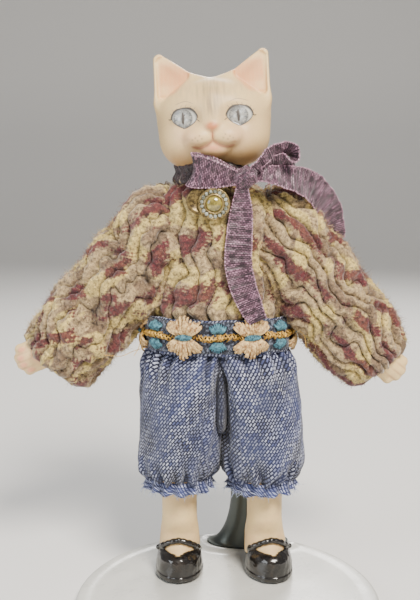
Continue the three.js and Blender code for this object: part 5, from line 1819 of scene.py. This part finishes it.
def build_brooch():
    at = centre("brooch_setting")
    metal = brass()
    lip = [(0.02, -0.6), (2.85, -0.6), (3.0, -0.45), (3.02, 0.35), (2.9, 0.55), (2.7, 0.5), (2.5, 0.3),
           (2.1, 0.28),
           (1.95, 0.55), (1.78, 0.72), (1.62, 0.66), (1.5, 0.35), (0.02, 0.3)]
    setting = mesh_piece("brooch_cup", *disc_points(at, lip, 72), metal, "doll")
    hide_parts("brooch_setting")
    cup = [(1.52 * math.cos(t), 0.35 + 0.85 * math.sin(t)) for t in np.linspace(0, 1.56, 12)]
    stone = mesh_piece("brooch_cabochon", *disc_points(at, [(0.02, 0.3), (1.5, 0.3)] + cup, 48),
                       glass_stone("yellow_stone", linear(58, 52, 30), linear(168, 152, 72)), "doll")
    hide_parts("brooch_stone")
    number = 17
    turn = turns(number)
    places = np.stack([at[0] + 2.32 * np.cos(turn), 0 * turn + at[1] - 0.5, at[2] + 2.32 * np.sin(turn)], 1)
    clear = glass_stone("clear_stone", linear(96, 98, 80), linear(214, 218, 204), 0.35)
    mesh_piece("brooch_brilliants", *beads(places, 0.4, 5, 8), clear, "doll", smooth=False)
    claws = np.stack([at[0] + 2.66 * np.cos(turn + 0.18), 0 * turn + at[1] - 0.6,
                      at[2] + 2.66 * np.sin(turn + 0.18)], 1)
    mesh_piece("brooch_claws", *beads(claws, 0.17, 6, 8), metal, "doll")
    # A second, plain button sits behind it at the doll's right.
    back = at + [-2.7, 0.6, 0.5]
    rows = [(0.02, -0.5), (2.3, -0.5), (2.5, -0.3), (2.5, 0.35), (2.3, 0.6), (1.9, 0.5), (1.7, 0.3),
            (0.02, 0.25)]
    dark = thread("dark_button", linear(58, 46, 30), linear(138, 118, 72), 0.35, 0.6)
    mesh_piece("back_button", *disc_points(back, rows, 56), dark, "doll")


def build_hidden():
    cotton, wire = muslin(), bare_wire()
    dress(["torso"] + [f"{side}_{part}" for _, side in SIDES for part in ("upper_arm", "thigh")], cotton)
    dress(["hip_wire", "neck_hook"] + [f"{side}_arm_wire" for _, side in SIDES], wire)
    dress(["neck_plug"], bisque_plain())
    dress(["brooch_pin"], brass())
    dress(["clip_hub", "clip_left_arm", "clip_right_arm"], vinyl())


RIBBON = ribbon_weave("ribbon", linear(20, 6, 15), linear(62, 28, 48), linear(172, 126, 150))
# The same ribbon with painted shade, for the band under the chin.
RIBBON_IN_SHADE = ribbon_weave("ribbon_in_painted_shade", linear(18, 8, 12), linear(44, 24, 30), linear(84, 54, 62))
PICOT = thread("picot_thread", linear(104, 64, 86), linear(204, 164, 182), 0.5)


# ------------------------------------------------------------------ build everything
EYE_PAINT = eye_paint()

build_stage()
build_stand()
build_head()
build_legs()
build_paws()
build_sweater()
build_bloomers()
build_belt()
build_bow()
build_brooch()
build_hidden()
